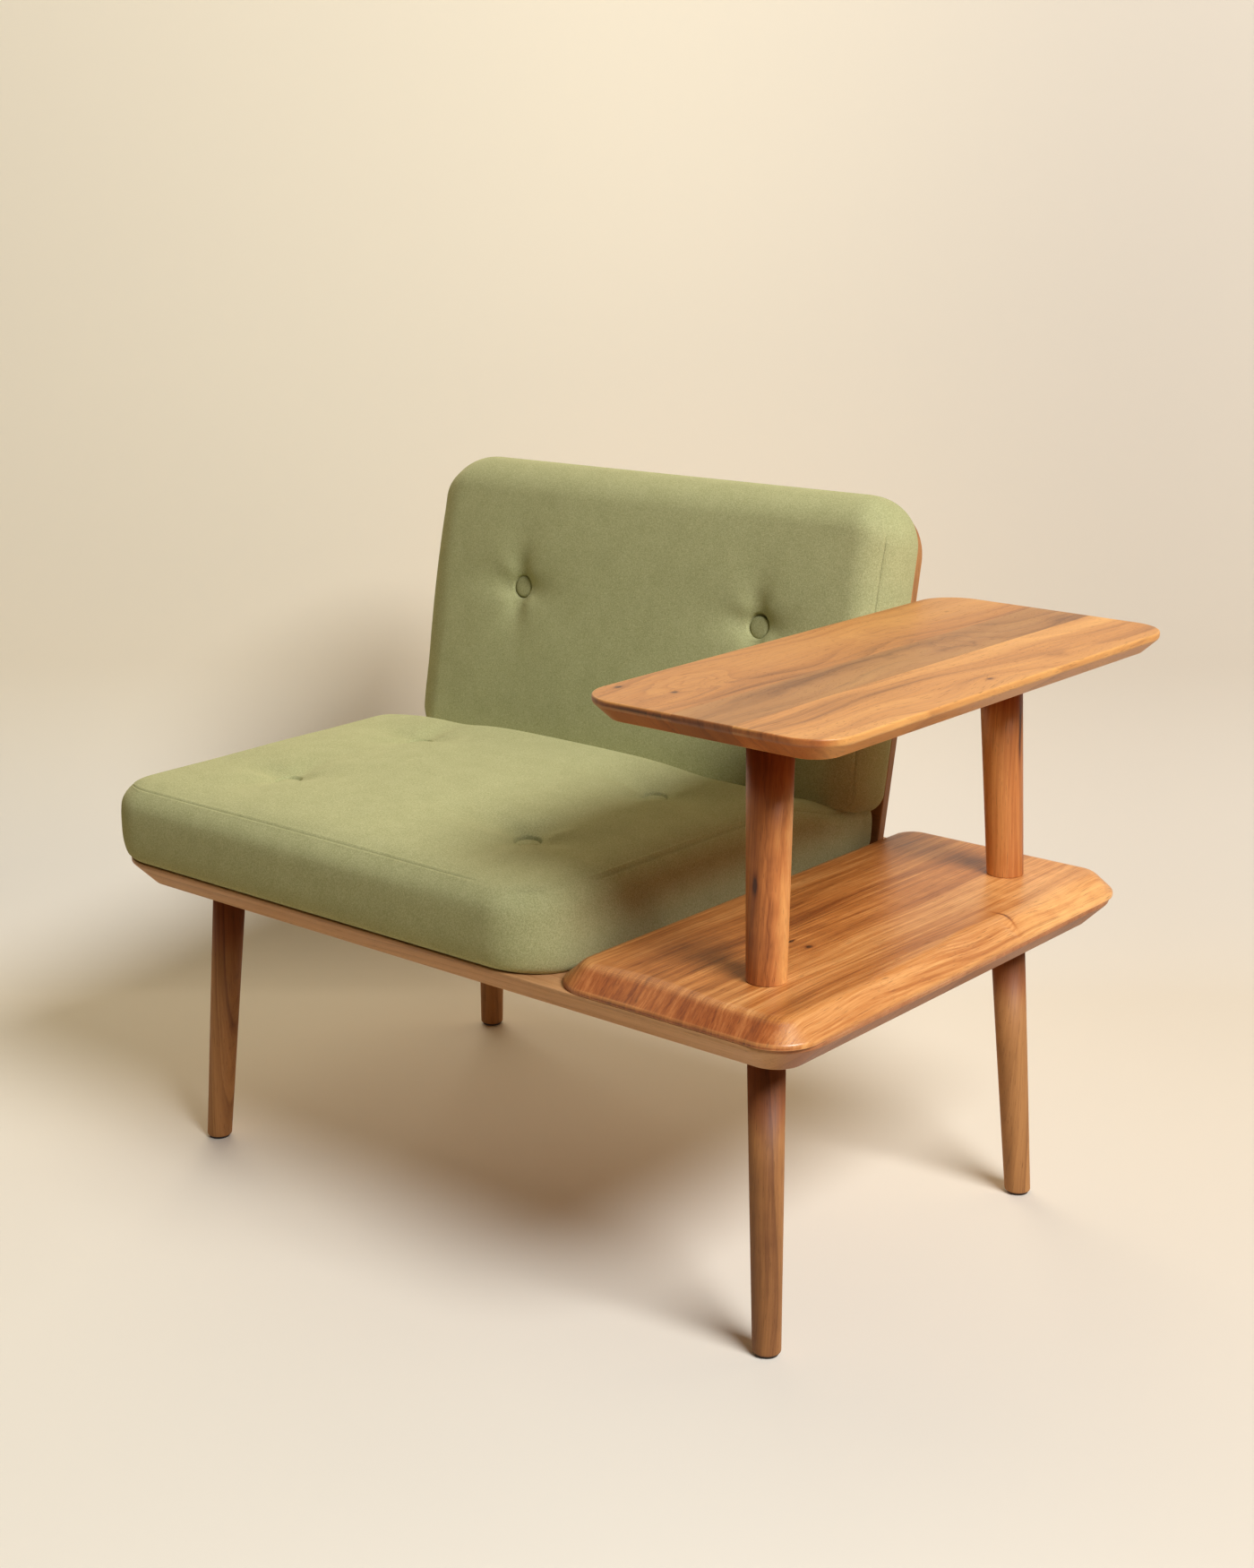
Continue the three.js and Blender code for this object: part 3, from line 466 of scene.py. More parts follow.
def cushion_band(form, below, rim):
    """The band's rings at these depths below the rim, and a last one under the foot, with each
    point's distance from the seam. The side stands out by bulge * (1 - |2s - 1| cubed) at share s
    of its height, is drawn in at its top and folds in at its foot."""
    grid_x, grid_y, x, y, out_x, out_y, shown, seam_place = rim
    depth = below[:, None]
    share = 1 - depth / form.band
    swell = 1 - np.abs(2 * share - 1) ** 3
    from_seam = np.abs(depth + seam_place)
    relief = shown * seam_relief(from_seam)
    folded = FOOT_FOLD * np.clip(1 - share * form.band / FOOT_HEIGHT, 0, 1) ** 2
    drawn_in = form.shoulder * np.clip(1 - depth / form.drop, 0, 1) ** 2 * form.tucked(grid_y)
    narrower = (1 - share) * np.where(out_x > 0, form.out_right, form.out_left)
    shallower = (1 - share) * np.where(out_y > 0, form.out_back, form.out_front)
    side_x = form.bulge * swell + share * form.spread(grid_x, grid_y) - narrower
    side_y = np.where(out_y > 0, form.rear_bulge, form.bulge) * swell - shallower
    z = share * (form.band - form.pressed(grid_x, grid_y))
    band = np.stack([x + out_x * (side_x + relief - folded - drawn_in),
                     y + out_y * (side_y + relief - folded - drawn_in), z], axis=2)
    middle = np.array([(form.left + form.right) / 2, (form.front + form.back) / 2, 0.0])
    band = np.concatenate([band, band[-1:] * FOOT_KEPT + middle * (1 - FOOT_KEPT)])
    from_seam = from_seam + SEAM_FADED * (1 - shown)
    return band, np.concatenate([from_seam, from_seam[-1:]])


def cushion(form):
    """A closed cushion: its top on a grid squeezed to the rounded outline, its band and its foot.
    Returns its points, its faces, their corners' places in the cloth, which lies flat on the top
    and runs round the band, and each point's distance from the seam."""
    tuft_columns, tuft_rows = (sorted(set(places)) for places in zip(*form.tufts))
    grid_x, grid_y = np.meshgrid(grid_lines(form.left, form.right, tuft_columns),
                                 grid_lines(form.front, form.back, tuft_rows))
    top, top_seam, places = cushion_top(form, grid_x, grid_y)
    index = np.arange(grid_x.size).reshape(grid_x.shape)
    rim = np.concatenate([index[0, :-1], index[:-1, -1], index[-1, :0:-1], index[:0:-1, 0]])
    below = np.concatenate([
        SEAM_STEPS[1:], np.arange(SEAM_STEPS[-1] + BAND_STEP, form.band - FOOT_CLEAR, BAND_STEP),
        form.band - np.array(FOOT_STEPS)])
    at_rim = [part.ravel()[rim] for part in places]
    band, band_seam = cushion_band(form, below, at_rim)

    rings = np.concatenate([rim[None], index.size + np.arange(band_seam.size).reshape(band_seam.shape)])
    upper, lower = rings[:-1], rings[1:]
    tops = grid_faces(index)
    sides = np.stack([lower, np.roll(lower, -1, axis=1), np.roll(upper, -1, axis=1), upper], axis=2)
    faces = np.concatenate([tops, sides.reshape(-1, 4)]).tolist() + [rings[-1, ::-1].tolist()]

    steps = np.hypot(*(np.diff(part, append=part[0]) for part in at_rim[2:4]))
    along = np.concatenate([[0], np.cumsum(steps)])
    height = np.concatenate([[form.band], form.band - below, [-CLOTH_UNDER]])
    corners = ((along[:-1], height[1:]), (along[1:], height[1:]),
               (along[1:], height[:-1]), (along[:-1], height[:-1]))
    round_band = np.stack([np.stack(np.meshgrid(*corner), axis=2) for corner in corners], axis=2)
    uv = np.concatenate([np.stack([grid_x, grid_y], axis=2).reshape(-1, 2)[tops.ravel()],
                         round_band.reshape(-1, 2), np.zeros((len(rim), 2))])
    points = np.concatenate([top.reshape(-1, 3), band.reshape(-1, 3)])
    return points, faces, uv, np.concatenate([top_seam.ravel(), band_seam.ravel()])


def beside_low_table(points):
    """The seat rests against the low table's bevel: no point goes past its sloping face."""
    x, y, z = points.T
    rise = np.clip((z - BASE_TOP - LOW_LIP) / (LOW_TOP - BASE_TOP - LOW_LIP), 0, 1)
    limit = np.where(z < LOW_TOP, LOW_LEFT - BEVEL_GAP + rise * LOW_BEVEL, np.inf)
    return np.stack([np.minimum(x, limit), y, z], axis=1)


# Materials


def add(tree, kind, links=(), out=0, stops=(), **settings):
    """Adds a shader node, with its own settings, a ramp's colour stops, and its inputs, given in
    order or by name or number, each linked to a socket or set to a value. Returns its output out,
    or the node if it has none."""
    node = tree.nodes.new(f"ShaderNode{kind}")
    for name, value in settings.items():
        setattr(node, name, value)
    if stops:
        marks = node.color_ramp.elements
        while len(marks) < len(stops):
            marks.new(0.5)
        for mark, (place, colour) in zip(marks, stops):
            mark.position, mark.color = place, linear(colour)
    for key, value in links.items() if isinstance(links, dict) else enumerate(links):
        if isinstance(value, bpy.types.NodeSocket):
            tree.links.new(value, node.inputs[key])
        else:
            node.inputs[key].default_value = value
    return node.outputs[out] if len(node.outputs) else node


def start_material(name):
    """A material with an empty node tree, and its Object coordinates."""
    material = bpy.data.materials.new(name)
    material.use_nodes = True
    tree = material.node_tree
    tree.nodes.clear()
    return material, tree, add(tree, "TexCoord", out="Object")


def finish_material(tree, shader_links):
    """Ends a material's tree with its surface shader and its output."""
    shader = add(tree, "BsdfPrincipled", shader_links)
    add(tree, "OutputMaterial", {"Surface": shader})


# Layers of a wood's figure: how many features lie in a metre across the grain, along it and into
# the board, so those of 110 are 9 mm wide. Pores are 0.2 mm wide in fact and drawn at 0.8 mm
SLOW_SWAY, SLOW_DRIFT = (9.0, 3.4, 9.0), (9.0, 1.1, 3.0)
BROAD_BAND, VEIN, STRONG_PLACE = (24.0, 1.0, 9.0), (110.0, 2.6, 34.0), (14.0, 2.0, 6.0)
FIBRE, DARK_THREAD, PORE = (420.0, 7.0, 90.0), (330.0, 2.4, 70.0), (1300.0, 40.0, 1300.0)
RIPPLES, PLANK_JUMP = 38.0, (0.31, 1.73, 0.17)
PORE_COLOUR, END_GRAIN_TINT = "#40230f", "#dcbcac"


def wood(name, tones, turn=(0, 0, 0), shift=(0, 0, 0), grain=(0, 1, 0), lines=0.024, figure=9.0,
         contrast=1.0, bands=0.70, rings=0.38, veins=0.22, fibres=0.42, streaks=0.35, wander=0.02,
         planks=(), marks=(), gloss=0.42):
    """Oiled solid wood. Its grain runs along the pattern's Y, which is the direction grain on the
    piece. Growth rings are the contour lines of the distance across the plank, in steps of lines,
    plus slow noise. Broad bands, veins, fibres, dark streaks and pores are noise drawn out along the
    grain, and all of it sways across the grain by up to wander. Faces cut across the grain drink
    more oil and are darker and redder, and worn arrises are paler. Each mark is (place, half sizes,
    push, dark) in the base frame: it pushes the rings aside, and darkens the wood or with a dark
    below 0 makes it paler. Knots and heartwood are such marks, and so is painted shade or painted
    light where a piece stands in shade or in the lamp's light. Each plank is (where it starts, tint)."""
    material, tree, coordinate = start_material(name)

    def sum_of(*terms):
        """The sum of values, each times its share."""
        total = 0.0
        for value, share in terms:
            total = add(tree, "Math", (value, share, total), operation="MULTIPLY_ADD")
        return total

    place, tint = coordinate, None
    if planks:
        across = add(tree, "SeparateXYZ", {"Vector": coordinate})
        steps, tint = 0.0, linear(planks[0][1])
        for edge, shade in planks[1:]:
            past = add(tree, "Math", (across, edge + ORIGIN[0]), operation="GREATER_THAN")
            steps = add(tree, "Math", (steps, past), operation="ADD")
            tint = add(tree, "Mix", {0: past, 6: tint, 7: linear(shade)}, out=2, data_type="RGBA")
        jump = add(tree, "VectorMath", {0: PLANK_JUMP, "Scale": steps}, operation="SCALE")
        place = add(tree, "VectorMath", (coordinate, jump), operation="ADD")
    place = add(tree, "Mapping", {"Vector": place, "Rotation": turn, "Location": shift})
    slowly = add(tree, "VectorMath", (place, SLOW_SWAY), operation="MULTIPLY")
    drift = add(tree, "TexNoise", {"Vector": slowly, "Scale": 1.0, "Detail": 1.0}, out="Color")
    ripple = add(tree, "TexNoise", {"Vector": coordinate, "Scale": RIPPLES, "Detail": 2.0}, out="Color")
    ripple = add(tree, "VectorMath", (ripple, (0.5, 0.5, 0.5)), operation="SUBTRACT")
    place = add(tree, "VectorMath", (drift, (wander, 0.0, wander), place), operation="MULTIPLY_ADD")

    def layer(features, detail, rough=0.5):
        """Noise with this many features in a metre each way."""
        stretched = add(tree, "VectorMath", (place, features), operation="MULTIPLY")
        return add(tree, "TexNoise", {
            "Vector": stretched, "Scale": 1.0, "Detail": detail, "Roughness": rough})

    pushed, darkened = 0.0, 0.0
    for spot, half, push, dark in marks:
        uneven = min(half) * 1.2
        offset = add(tree, "VectorMath", (ripple, (uneven, uneven, uneven), coordinate),
                     operation="MULTIPLY_ADD")
        offset = add(tree, "VectorMath", (offset, (-ORIGIN - spot).tolist()), operation="ADD")
        scaled = add(tree, "VectorMath", (offset, (1 / np.array(half)).tolist()), operation="MULTIPLY")
        away = add(tree, "VectorMath", (scaled,), out="Value", operation="LENGTH")
        spread = add(tree, "Math", (away, away, 1.0), operation="MULTIPLY_ADD")
        near = add(tree, "Math", (1.0, spread), operation="DIVIDE")
        near = add(tree, "Math", (near, near), operation="MULTIPLY")
        pushed = add(tree, "Math", (near, push, pushed), operation="MULTIPLY_ADD")
        darkened = add(tree, "Math", (near, dark, darkened), operation="MULTIPLY_ADD")

    slow = layer(SLOW_DRIFT, 2.0, 0.4)
    across = add(tree, "SeparateXYZ", {"Vector": place}, out="X")
    depth = add(tree, "SeparateXYZ", {"Vector": place}, out="Z")
    phase = sum_of((across, 1 / lines), (depth, 0.3 / lines), (slow, figure), (pushed, 1.0))
    part = add(tree, "Math", (phase,), operation="FRACT")
    late = add(tree, "Math", (part, 3.0), operation="POWER")
    early = add(tree, "MapRange", {
        "Value": part, "From Min": 0.93, "From Max": 1.0, "To Min": 1.0, "To Max": 0.0})
    ring = add(tree, "Math", (late, early), operation="MULTIPLY")
    broad = layer(BROAD_BAND, 2.0, 0.45)
    vein = layer(VEIN, 3.0, 0.55)
    fibre = layer(FIBRE, 4.0, 0.7)
    strong = layer(STRONG_PLACE, 1.0)
    ringed = add(tree, "Math", (ring, strong), operation="MULTIPLY")
    level = 0.50 + contrast * (rings / 10 + 0.03 - (bands + veins + fibres) / 2)
    value = sum_of((broad, bands * contrast), (vein, veins * contrast), (fibre, fibres * contrast),
                   (ringed, -rings * contrast), (darkened, -1.0), (1.0, level))
    colour = add(tree, "ValToRGB", {"Fac": value}, stops=tones)

    threads = layer(DARK_THREAD, 3.0, 0.6)
    thread = add(tree, "MapRange", {
        "Value": threads, "From Min": 0.58, "From Max": 0.74, "To Max": streaks},
        interpolation_type="SMOOTHSTEP")
    crowded = add(tree, "MapRange", {"Value": strong, "From Min": 0.42, "From Max": 0.62})
    thread = add(tree, "Math", (thread, crowded), operation="MULTIPLY")
    colour = add(tree, "Mix", {0: thread, 6: colour, 7: linear(tones[0][1])}, out=2, data_type="RGBA")
    if tint is not None:
        colour = add(tree, "Mix", {0: 1.0, 6: colour, 7: tint},
                     out=2, data_type="RGBA", blend_type="MULTIPLY")

    facing_out = add(tree, "NewGeometry", out="Normal")
    cut = add(tree, "VectorMath", (facing_out, grain), out="Value", operation="DOT_PRODUCT")
    cut = add(tree, "Math", (cut,), operation="ABSOLUTE")
    cut = add(tree, "MapRange", {"Value": cut, "From Min": 0.35, "From Max": 0.70},
              interpolation_type="SMOOTHSTEP")
    colour = add(tree, "Mix", {0: cut, 6: colour, 7: linear(END_GRAIN_TINT)},
                 out=2, data_type="RGBA", blend_type="MULTIPLY")
    wear = add(tree, "Attribute", out="Fac", attribute_name="wear")
    rubbed = add(tree, "MapRange", {
        "Value": strong, "From Min": 0.38, "From Max": 0.62, "To Min": 0.05, "To Max": 0.45})
    worn = add(tree, "Math", (wear, rubbed), operation="MULTIPLY")
    colour = add(tree, "Mix", {0: worn, 6: colour, 7: linear(tones[-1][1])}, out=2, data_type="RGBA")

    pores = layer(PORE, 2.0)
    pore = add(tree, "MapRange", {"Value": pores, "From Min": 0.61, "From Max": 0.72, "To Max": 0.45})
    surface = add(tree, "Mix", {0: pore, 6: colour, 7: linear(PORE_COLOUR)}, out=2, data_type="RGBA")
    rough = sum_of((fibre, 0.16), (pore, 0.3), (1.0, gloss - 0.09))
    hollow = sum_of((pore, -0.9), (fibre, 0.5), (thread, -0.5))
    relief = add(tree, "Bump", {"Height": hollow, "Distance": 0.0003, "Strength": 0.4})
    finish_material(tree, {"Base Color": surface, "Roughness": rough, "Normal": relief, "IOR": 1.5})
    return material


# Threads are 0.6 mm apart in fact and drawn wider to show. The wool's clumps are 1.3 mm wide, its
# clouds 26 mm, and its threads waver over 4 mm
THREAD_SPACING, THREAD_WAVER = 0.0013, 7.0
CLUMPS, CLOUDS, WAVERS = 760.0, 38.0, 260.0
SEAM_CREASE_SHADE_COLOUR = "#4d4a26"


def felted_wool():
    """Felted wool cloth, milled so that the weave shows only as a fine grain. The fibres that stand
    up catch the light at grazing angles, and along a stitched seam's crease a thin line of painted
    shade darkens the cloth."""
    material, tree, coordinate = start_material("felted_wool")
    surface = add(tree, "UVMap", uv_map="Cloth")
    colours = bpy.context.scene.bench_colours
    clumps, cloud, wobble = (
        add(tree, "TexNoise", {
            "Vector": coordinate, "Scale": scale, "Detail": detail, "Roughness": rough})
        for scale, detail, rough in ((CLUMPS, 3.0, 0.75), (CLOUDS, 3.0, 0.6), (WAVERS, 2.0, 0.6)))
    turns = 2 * math.pi / THREAD_SPACING
    woven = add(tree, "VectorMath", (surface, (turns, turns, 0.0)), operation="MULTIPLY")
    woven = add(tree, "VectorMath", (wobble, (THREAD_WAVER, THREAD_WAVER, 0.0), woven),
                operation="MULTIPLY_ADD")
    waves = add(tree, "VectorMath", (woven,), operation="SINE")
    across = add(tree, "SeparateXYZ", {"Vector": waves}, out="X")
    along = add(tree, "SeparateXYZ", {"Vector": waves}, out="Y")
    weave = add(tree, "Math", (across, along), operation="MULTIPLY")
    grain = add(tree, "Math", (weave, 0.05, clumps), operation="MULTIPLY_ADD")
    tone = add(tree, "Math", (cloud, 0.16, grain), operation="MULTIPLY_ADD")
    tone = add(tree, "MapRange", {"Value": tone, "From Min": 0.46, "From Max": 0.70})
    colour = add(tree, "Mix", {0: tone, 6: (*colours.cloth_shade, 1), 7: (*colours.cloth_light, 1)},
                 out=2, data_type="RGBA")
    # A thin line of painted shade along each seam's crease
    seam = add(tree, "Attribute", out="Fac", attribute_name="seam")
    crease_shade = add(tree, "MapRange", {
        "Value": seam, "From Min": 0.0003, "From Max": 0.0012, "To Min": 0.18, "To Max": 0.0},
        interpolation_type="SMOOTHSTEP")
    colour = add(tree, "Mix", {0: crease_shade, 6: colour, 7: linear(SEAM_CREASE_SHADE_COLOUR)}, out=2, data_type="RGBA")
    height = add(tree, "Math", (weave, 0.25, clumps), operation="MULTIPLY_ADD")
    relief = add(tree, "Bump", {"Height": height, "Distance": 0.0007, "Strength": 0.7})
    finish_material(tree, {
        "Base Color": colour, "Roughness": 0.92, "Normal": relief, "IOR": 1.45,
        "Sheen Weight": 0.22, "Sheen Roughness": 0.45, "Sheen Tint": linear("#e9e6b8"),
        "Specular IOR Level": 0.25})
    return material


# Plies are 1.4 mm thick, with streaks 6 mm wide and 110 mm long. The steel's lines are 0.1 mm apart
# in fact and drawn 1.1 mm apart, and the nylon's scuffs are 2.4 mm wide
PLY_THICKNESS, PLY_STREAKS = 0.0014, (9.0, 160.0, 9.0)
STEEL_LINES, SCUFFS = (60.0, 60.0, 900.0), 420.0


def birch_plywood():
    """Birch plywood, sanded: pale face with the plies as thin darker lines on the edge."""
    material, tree, coordinate = start_material("birch_plywood")
    height = add(tree, "SeparateXYZ", {"Vector": coordinate}, out="Z")
    plies = add(tree, "Math", (height, 2 * math.pi / PLY_THICKNESS), operation="MULTIPLY")
    lines = add(tree, "Math", (plies,), operation="SINE")
    drawn = add(tree, "VectorMath", (coordinate, PLY_STREAKS), operation="MULTIPLY")
    fibre = add(tree, "TexNoise", {"Vector": drawn, "Scale": 1.0, "Detail": 3.0})
    mixed = add(tree, "Math", (lines, 0.12, fibre), operation="MULTIPLY_ADD")
    colour = add(tree, "ValToRGB", {"Fac": mixed}, stops=[(0.25, "#a98454"), (0.75, "#d6b98a")])
    relief = add(tree, "Bump", {"Height": fibre, "Distance": 0.0003, "Strength": 0.3})
    finish_material(tree, {"Base Color": colour, "Roughness": 0.7, "Normal": relief})
    return material


def metal(name, low, high, rough):
    """Drawn or rolled steel: colour and gloss vary along fine lines from the die or the rollers."""
    material, tree, coordinate = start_material(name)
    drawn = add(tree, "VectorMath", (coordinate, STEEL_LINES), operation="MULTIPLY")
    lines = add(tree, "TexNoise", {"Vector": drawn, "Scale": 1.0, "Detail": 3.0})
    colour = add(tree, "ValToRGB", {"Fac": lines}, stops=[(0.3, low), (0.7, high)])
    gloss = add(tree, "MapRange", {"Value": lines, "To Min": rough - 0.08, "To Max": rough + 0.08})
    relief = add(tree, "Bump", {"Height": lines, "Distance": 0.0002, "Strength": 0.2})
    finish_material(tree, {
        "Base Color": colour, "Metallic": 1.0, "Roughness": gloss, "Normal": relief})
    return material


def glide_nylon():
    """Moulded black nylon, scuffed dull where it rubs on the floor."""
    material, tree, coordinate = start_material("glide_nylon")
    scuff = add(tree, "TexNoise", {"Vector": coordinate, "Scale": SCUFFS, "Detail": 3.0})
    colour = add(tree, "ValToRGB", {"Fac": scuff}, stops=[(0.35, "#1d1916"), (0.75, "#3a332c")])
    rough = add(tree, "MapRange", {"Value": scuff, "To Min": 0.5, "To Max": 0.8})
    relief = add(tree, "Bump", {"Height": scuff, "Distance": 0.0003, "Strength": 0.3})
    finish_material(tree, {"Base Color": colour, "Roughness": rough, "Normal": relief})
    return material


ACACIA_TONES = [(0.05, "#482712"), (0.28, "#8f592a"), (0.50, "#c58748"), (0.80, "#e4aa62")]
LOW_TONES = [(0.05, "#46220e"), (0.28, "#89491d"), (0.50, "#bb7538"), (0.80, "#edb06c")]
POST_TONES = [(0.05, "#421b09"), (0.28, "#7f4119"), (0.50, "#b97038"), (0.80, "#e8a760")]
WALNUT_TONES = [(0.05, "#38200f"), (0.28, "#764824"), (0.50, "#a26e3e"), (0.80, "#c48d56")]
BASE_TONES = [(0.05, "#4a2c19"), (0.28, "#8b5c3a"), (0.50, "#b98657"), (0.80, "#d8a878")]

# Where the wood's figure departs from plain grain: x, y, half width, half length, push, dark. On the
# low table the fifth mark is painted shade over its left part, under the high table and beside the
# seat, and the sixth is a paler patch of painted reflection at its back right
LOW_FIGURE_AND_PAINTED_LIGHT = (
    (0.312, -0.105, 0.002, 0.005, 0.3, 0.9), (0.333, -0.107, 0.003, 0.004, 0.5, 0.7),
    (0.425, 0.088, 0.012, 0.0016, 0.0, 0.6), (0.301, 0.214, 0.030, 0.060, 0.0, 0.20),
    (0.283, -0.120, 0.060, 0.280, 0.0, 0.20), (0.410, 0.190, 0.080, 0.140, 0.0, -0.20))
HIGH_MARKS = (
    (0.223, -0.250, 0.0025, 0.004, 0.5, 0.8), (0.274, -0.233, 0.003, 0.005, 0.5, 0.8),
    (0.456, -0.012, 0.003, 0.006, 0.3, 0.5), (0.260, -0.191, 0.022, 0.045, 3.0, 0.0),
    (0.261, 0.101, 0.020, 0.040, 3.0, 0.15), (0.349, 0.093, 0.030, 0.060, 2.5, 0.1),
    (0.336, -0.120, 0.012, 0.140, 0.5, 0.22), (0.451, 0.117, 0.012, 0.030, 0.5, 0.2),
    (0.370, 0.264, 0.018, 0.040, 1.0, 0.2))
HIGH_PLANKS = ((0.0, "#ece2d8"), (0.320, "#d3d2da"), (0.3845, "#fffcf8"))

# Marks that aren't on a table's top: place, half sizes, push, dark. The first is painted shade along
# the high table's front lip
LIP_PAINTED_SHADE = ((0.285, -0.2968, 0.6030), (0.080, 0.0018, 0.0022), 0.0, 0.45)
# Painted shade on the front right leg, which stands under the base board's edge
LEG_PAINTED_SHADE = {"front_right": [((0.400, -0.240, 0.200), (0.060, 0.060, 0.300), 0.0, 0.14)]}
# On the posts: knots, and on the front right post a darkened front and a paled right side, partly the
# wood's own colour and partly painted shade and painted light from the lamp at the right
POST_KNOTS_AND_PAINTED_LIGHT = {
    "front_right": [((0.352, -0.2185, 0.444), (0.0022, 0.0022, 0.009), 1.0, 0.9),
                    ((0.358, -0.222, 0.46), (0.026, 0.026, 0.40), 0.8, 0.15),
                    ((0.386, -0.196, 0.45), (0.012, 0.014, 0.40), 0.0, -0.62)],
    "rear_right": [((0.370, 0.195, 0.504), (0.0016, 0.0016, 0.032), 0.5, 0.8),
                   ((0.362, 0.189, 0.372), (0.002, 0.002, 0.004), 0.6, 0.8)],
}


def on_top(height, x, y, wide, long, push, dark):
    """A mark on a board's top at a height, with the grain along Y."""
    return (x, y, height), (wide, long, wide), push, dark


class BenchSizes(bpy.types.PropertyGroup):
    """Sizes that a user would change."""

    edge_softness: bpy.props.FloatProperty(
        name="Edge softness", description="How far the boards' sharp edges are eased",
        default=0.0014, min=0.0002, max=0.003, unit="LENGTH")
    leg_steps: bpy.props.IntProperty(
        name="Leg steps", description="Faces round each leg and post", default=TURN_STEPS, min=24)
    backdrop_distance: bpy.props.FloatProperty(
        name="Backdrop distance", description="From the base board's centre to the backdrop",
        default=0.86, min=0.6, max=3.0, unit="LENGTH")


class BenchColours(bpy.types.PropertyGroup):
    """Colours that a user would change, linear."""

    cloth_light: bpy.props.FloatVectorProperty(
        name="Cloth", description="Felted wool, fibres in the light",
        default=linear("#c0c08f")[:3], subtype="COLOR", min=0, max=1)
    cloth_shade: bpy.props.FloatVectorProperty(
        name="Cloth between fibres", description="Felted wool, between its fibres",
        default=linear("#a1a171")[:3], subtype="COLOR", min=0, max=1)
    paper: bpy.props.FloatVectorProperty(
        name="Paper", description="Floor and backdrop",
        default=linear("#e9e3d7")[:3], subtype="COLOR", min=0, max=1)
    paper_wall: bpy.props.FloatVectorProperty(
        name="Backdrop", description="Backdrop above the floor",
        default=linear("#f7edd8")[:3], subtype="COLOR", min=0, max=1)
    # Painted shade that darkens the paper towards the right
    paper_shaded_right: bpy.props.FloatVectorProperty(
        name="Paper at the right", description="Floor and backdrop far to the right",
        default=linear("#dcd3c5")[:3], subtype="COLOR", min=0, max=1)


class BENCH_OT_base(bpy.types.Operator):
    """Base board: walnut slab with a long bevel underneath"""

    bl_idname = "bench.base"
    bl_label = "Base board"

    def execute(self, context):
        soft = context.scene.bench_sizes.edge_softness
        plan = rounded_rectangle(-BASE_HALF_WIDTH, BASE_HALF_WIDTH, -BASE_HALF_DEPTH, BASE_HALF_DEPTH,
                                 [BASE_CORNER] * 4)
        profile = softened([
            (BASE_BEVEL + FLAT_INSET, BASE_BOTTOM, 0), (BASE_BEVEL, BASE_BOTTOM, soft * 2),
            (0, BASE_TOP - BASE_LIP, soft), (0, BASE_TOP, soft), (FLAT_INSET, BASE_TOP, 0)])
        material = wood("walnut_base", BASE_TONES, turn=(0, 0, QUARTER), shift=(0.4, 0.2, 0.1),
                        grain=(1, 0, 0), figure=6.0, contrast=0.8, gloss=0.5)
        put_board("base_board_slab", "base_board", plan, profile, material, "walnut")
        return {"FINISHED"}


class BENCH_OT_legs(bpy.types.Operator):
    """Legs and posts: turned, tapered and leaning, with a glide under each leg"""

    bl_idname = "bench.legs"
    bl_label = "Legs and posts"

    def execute(self, context):
        steps = context.scene.bench_sizes.leg_steps
        nylon = glide_nylon()
        for number, name in enumerate(("front_left", "rear_left", "front_right", "rear_right")):
            end, side = (1 if word in ("rear", "right") else -1 for word in name.split("_"))

            def axis(height, side=side, end=end):
                return axis_at(side, end, height)

            foot = GLIDE_HEIGHT - FOOT_OVERLAP
            leg = softened([
                (GLIDE_RADIUS - FOOT_INSIDE, foot, 0), (taper(foot) - FOOT_RELIEF, foot, FOOT_ROUNDING),
                (taper(LEG_MIDDLE), LEG_MIDDLE, MIDDLE_EASED), (taper(BASE_BOTTOM), BASE_BOTTOM, 0)],
                steps=8)
            # The front right leg also gets painted shade
            material = wood(f"walnut_leg_{name}", WALNUT_TONES, turn=(QUARTER, 0.4 * number, 0),
                            shift=(0.3 + number * 0.7, 0.4, 0.5), grain=(0, 0, 1), figure=7.0,
                            gloss=0.62, marks=LEG_PAINTED_SHADE.get(name, ()))
            put_turned(f"leg_turned_{name}", f"leg_{name}", leg, axis, steps, material, "walnut")
            glide = softened([
                (GLIDE_CENTRE, 0, 0), (GLIDE_RADIUS, 0, GLIDE_EASED), (GLIDE_RADIUS, GLIDE_HEIGHT, 0)])
            put_mesh(f"glide_disc_{name}", *turned(glide, axis, SMALL_STEPS), nylon, "glide",
                     [f"glide_{name}"])
            if side < 0:
                continue
            post = softened([
                (taper(LOW_TOP) - POST_RING, LOW_TOP, 0), (taper(LOW_TOP), LOW_TOP, POST_EASED),
                (taper(POST_MIDDLE), POST_MIDDLE, MIDDLE_EASED), (taper(HIGH_BOTTOM), HIGH_BOTTOM, 0)],
                steps=6)
            material = wood(f"acacia_post_{name}", POST_TONES, turn=(QUARTER, 1.0 + number, 0),
                            shift=(0.9 * number, 0.1, 0.3), grain=(0, 0, 1), figure=7.0,
                            contrast=1.1, rings=0.2, streaks=0.5, gloss=0.46, marks=POST_KNOTS_AND_PAINTED_LIGHT[name])
            put_turned(f"post_turned_{name}", f"post_{name}", post, axis, steps, material, "acacia")
        return {"FINISHED"}


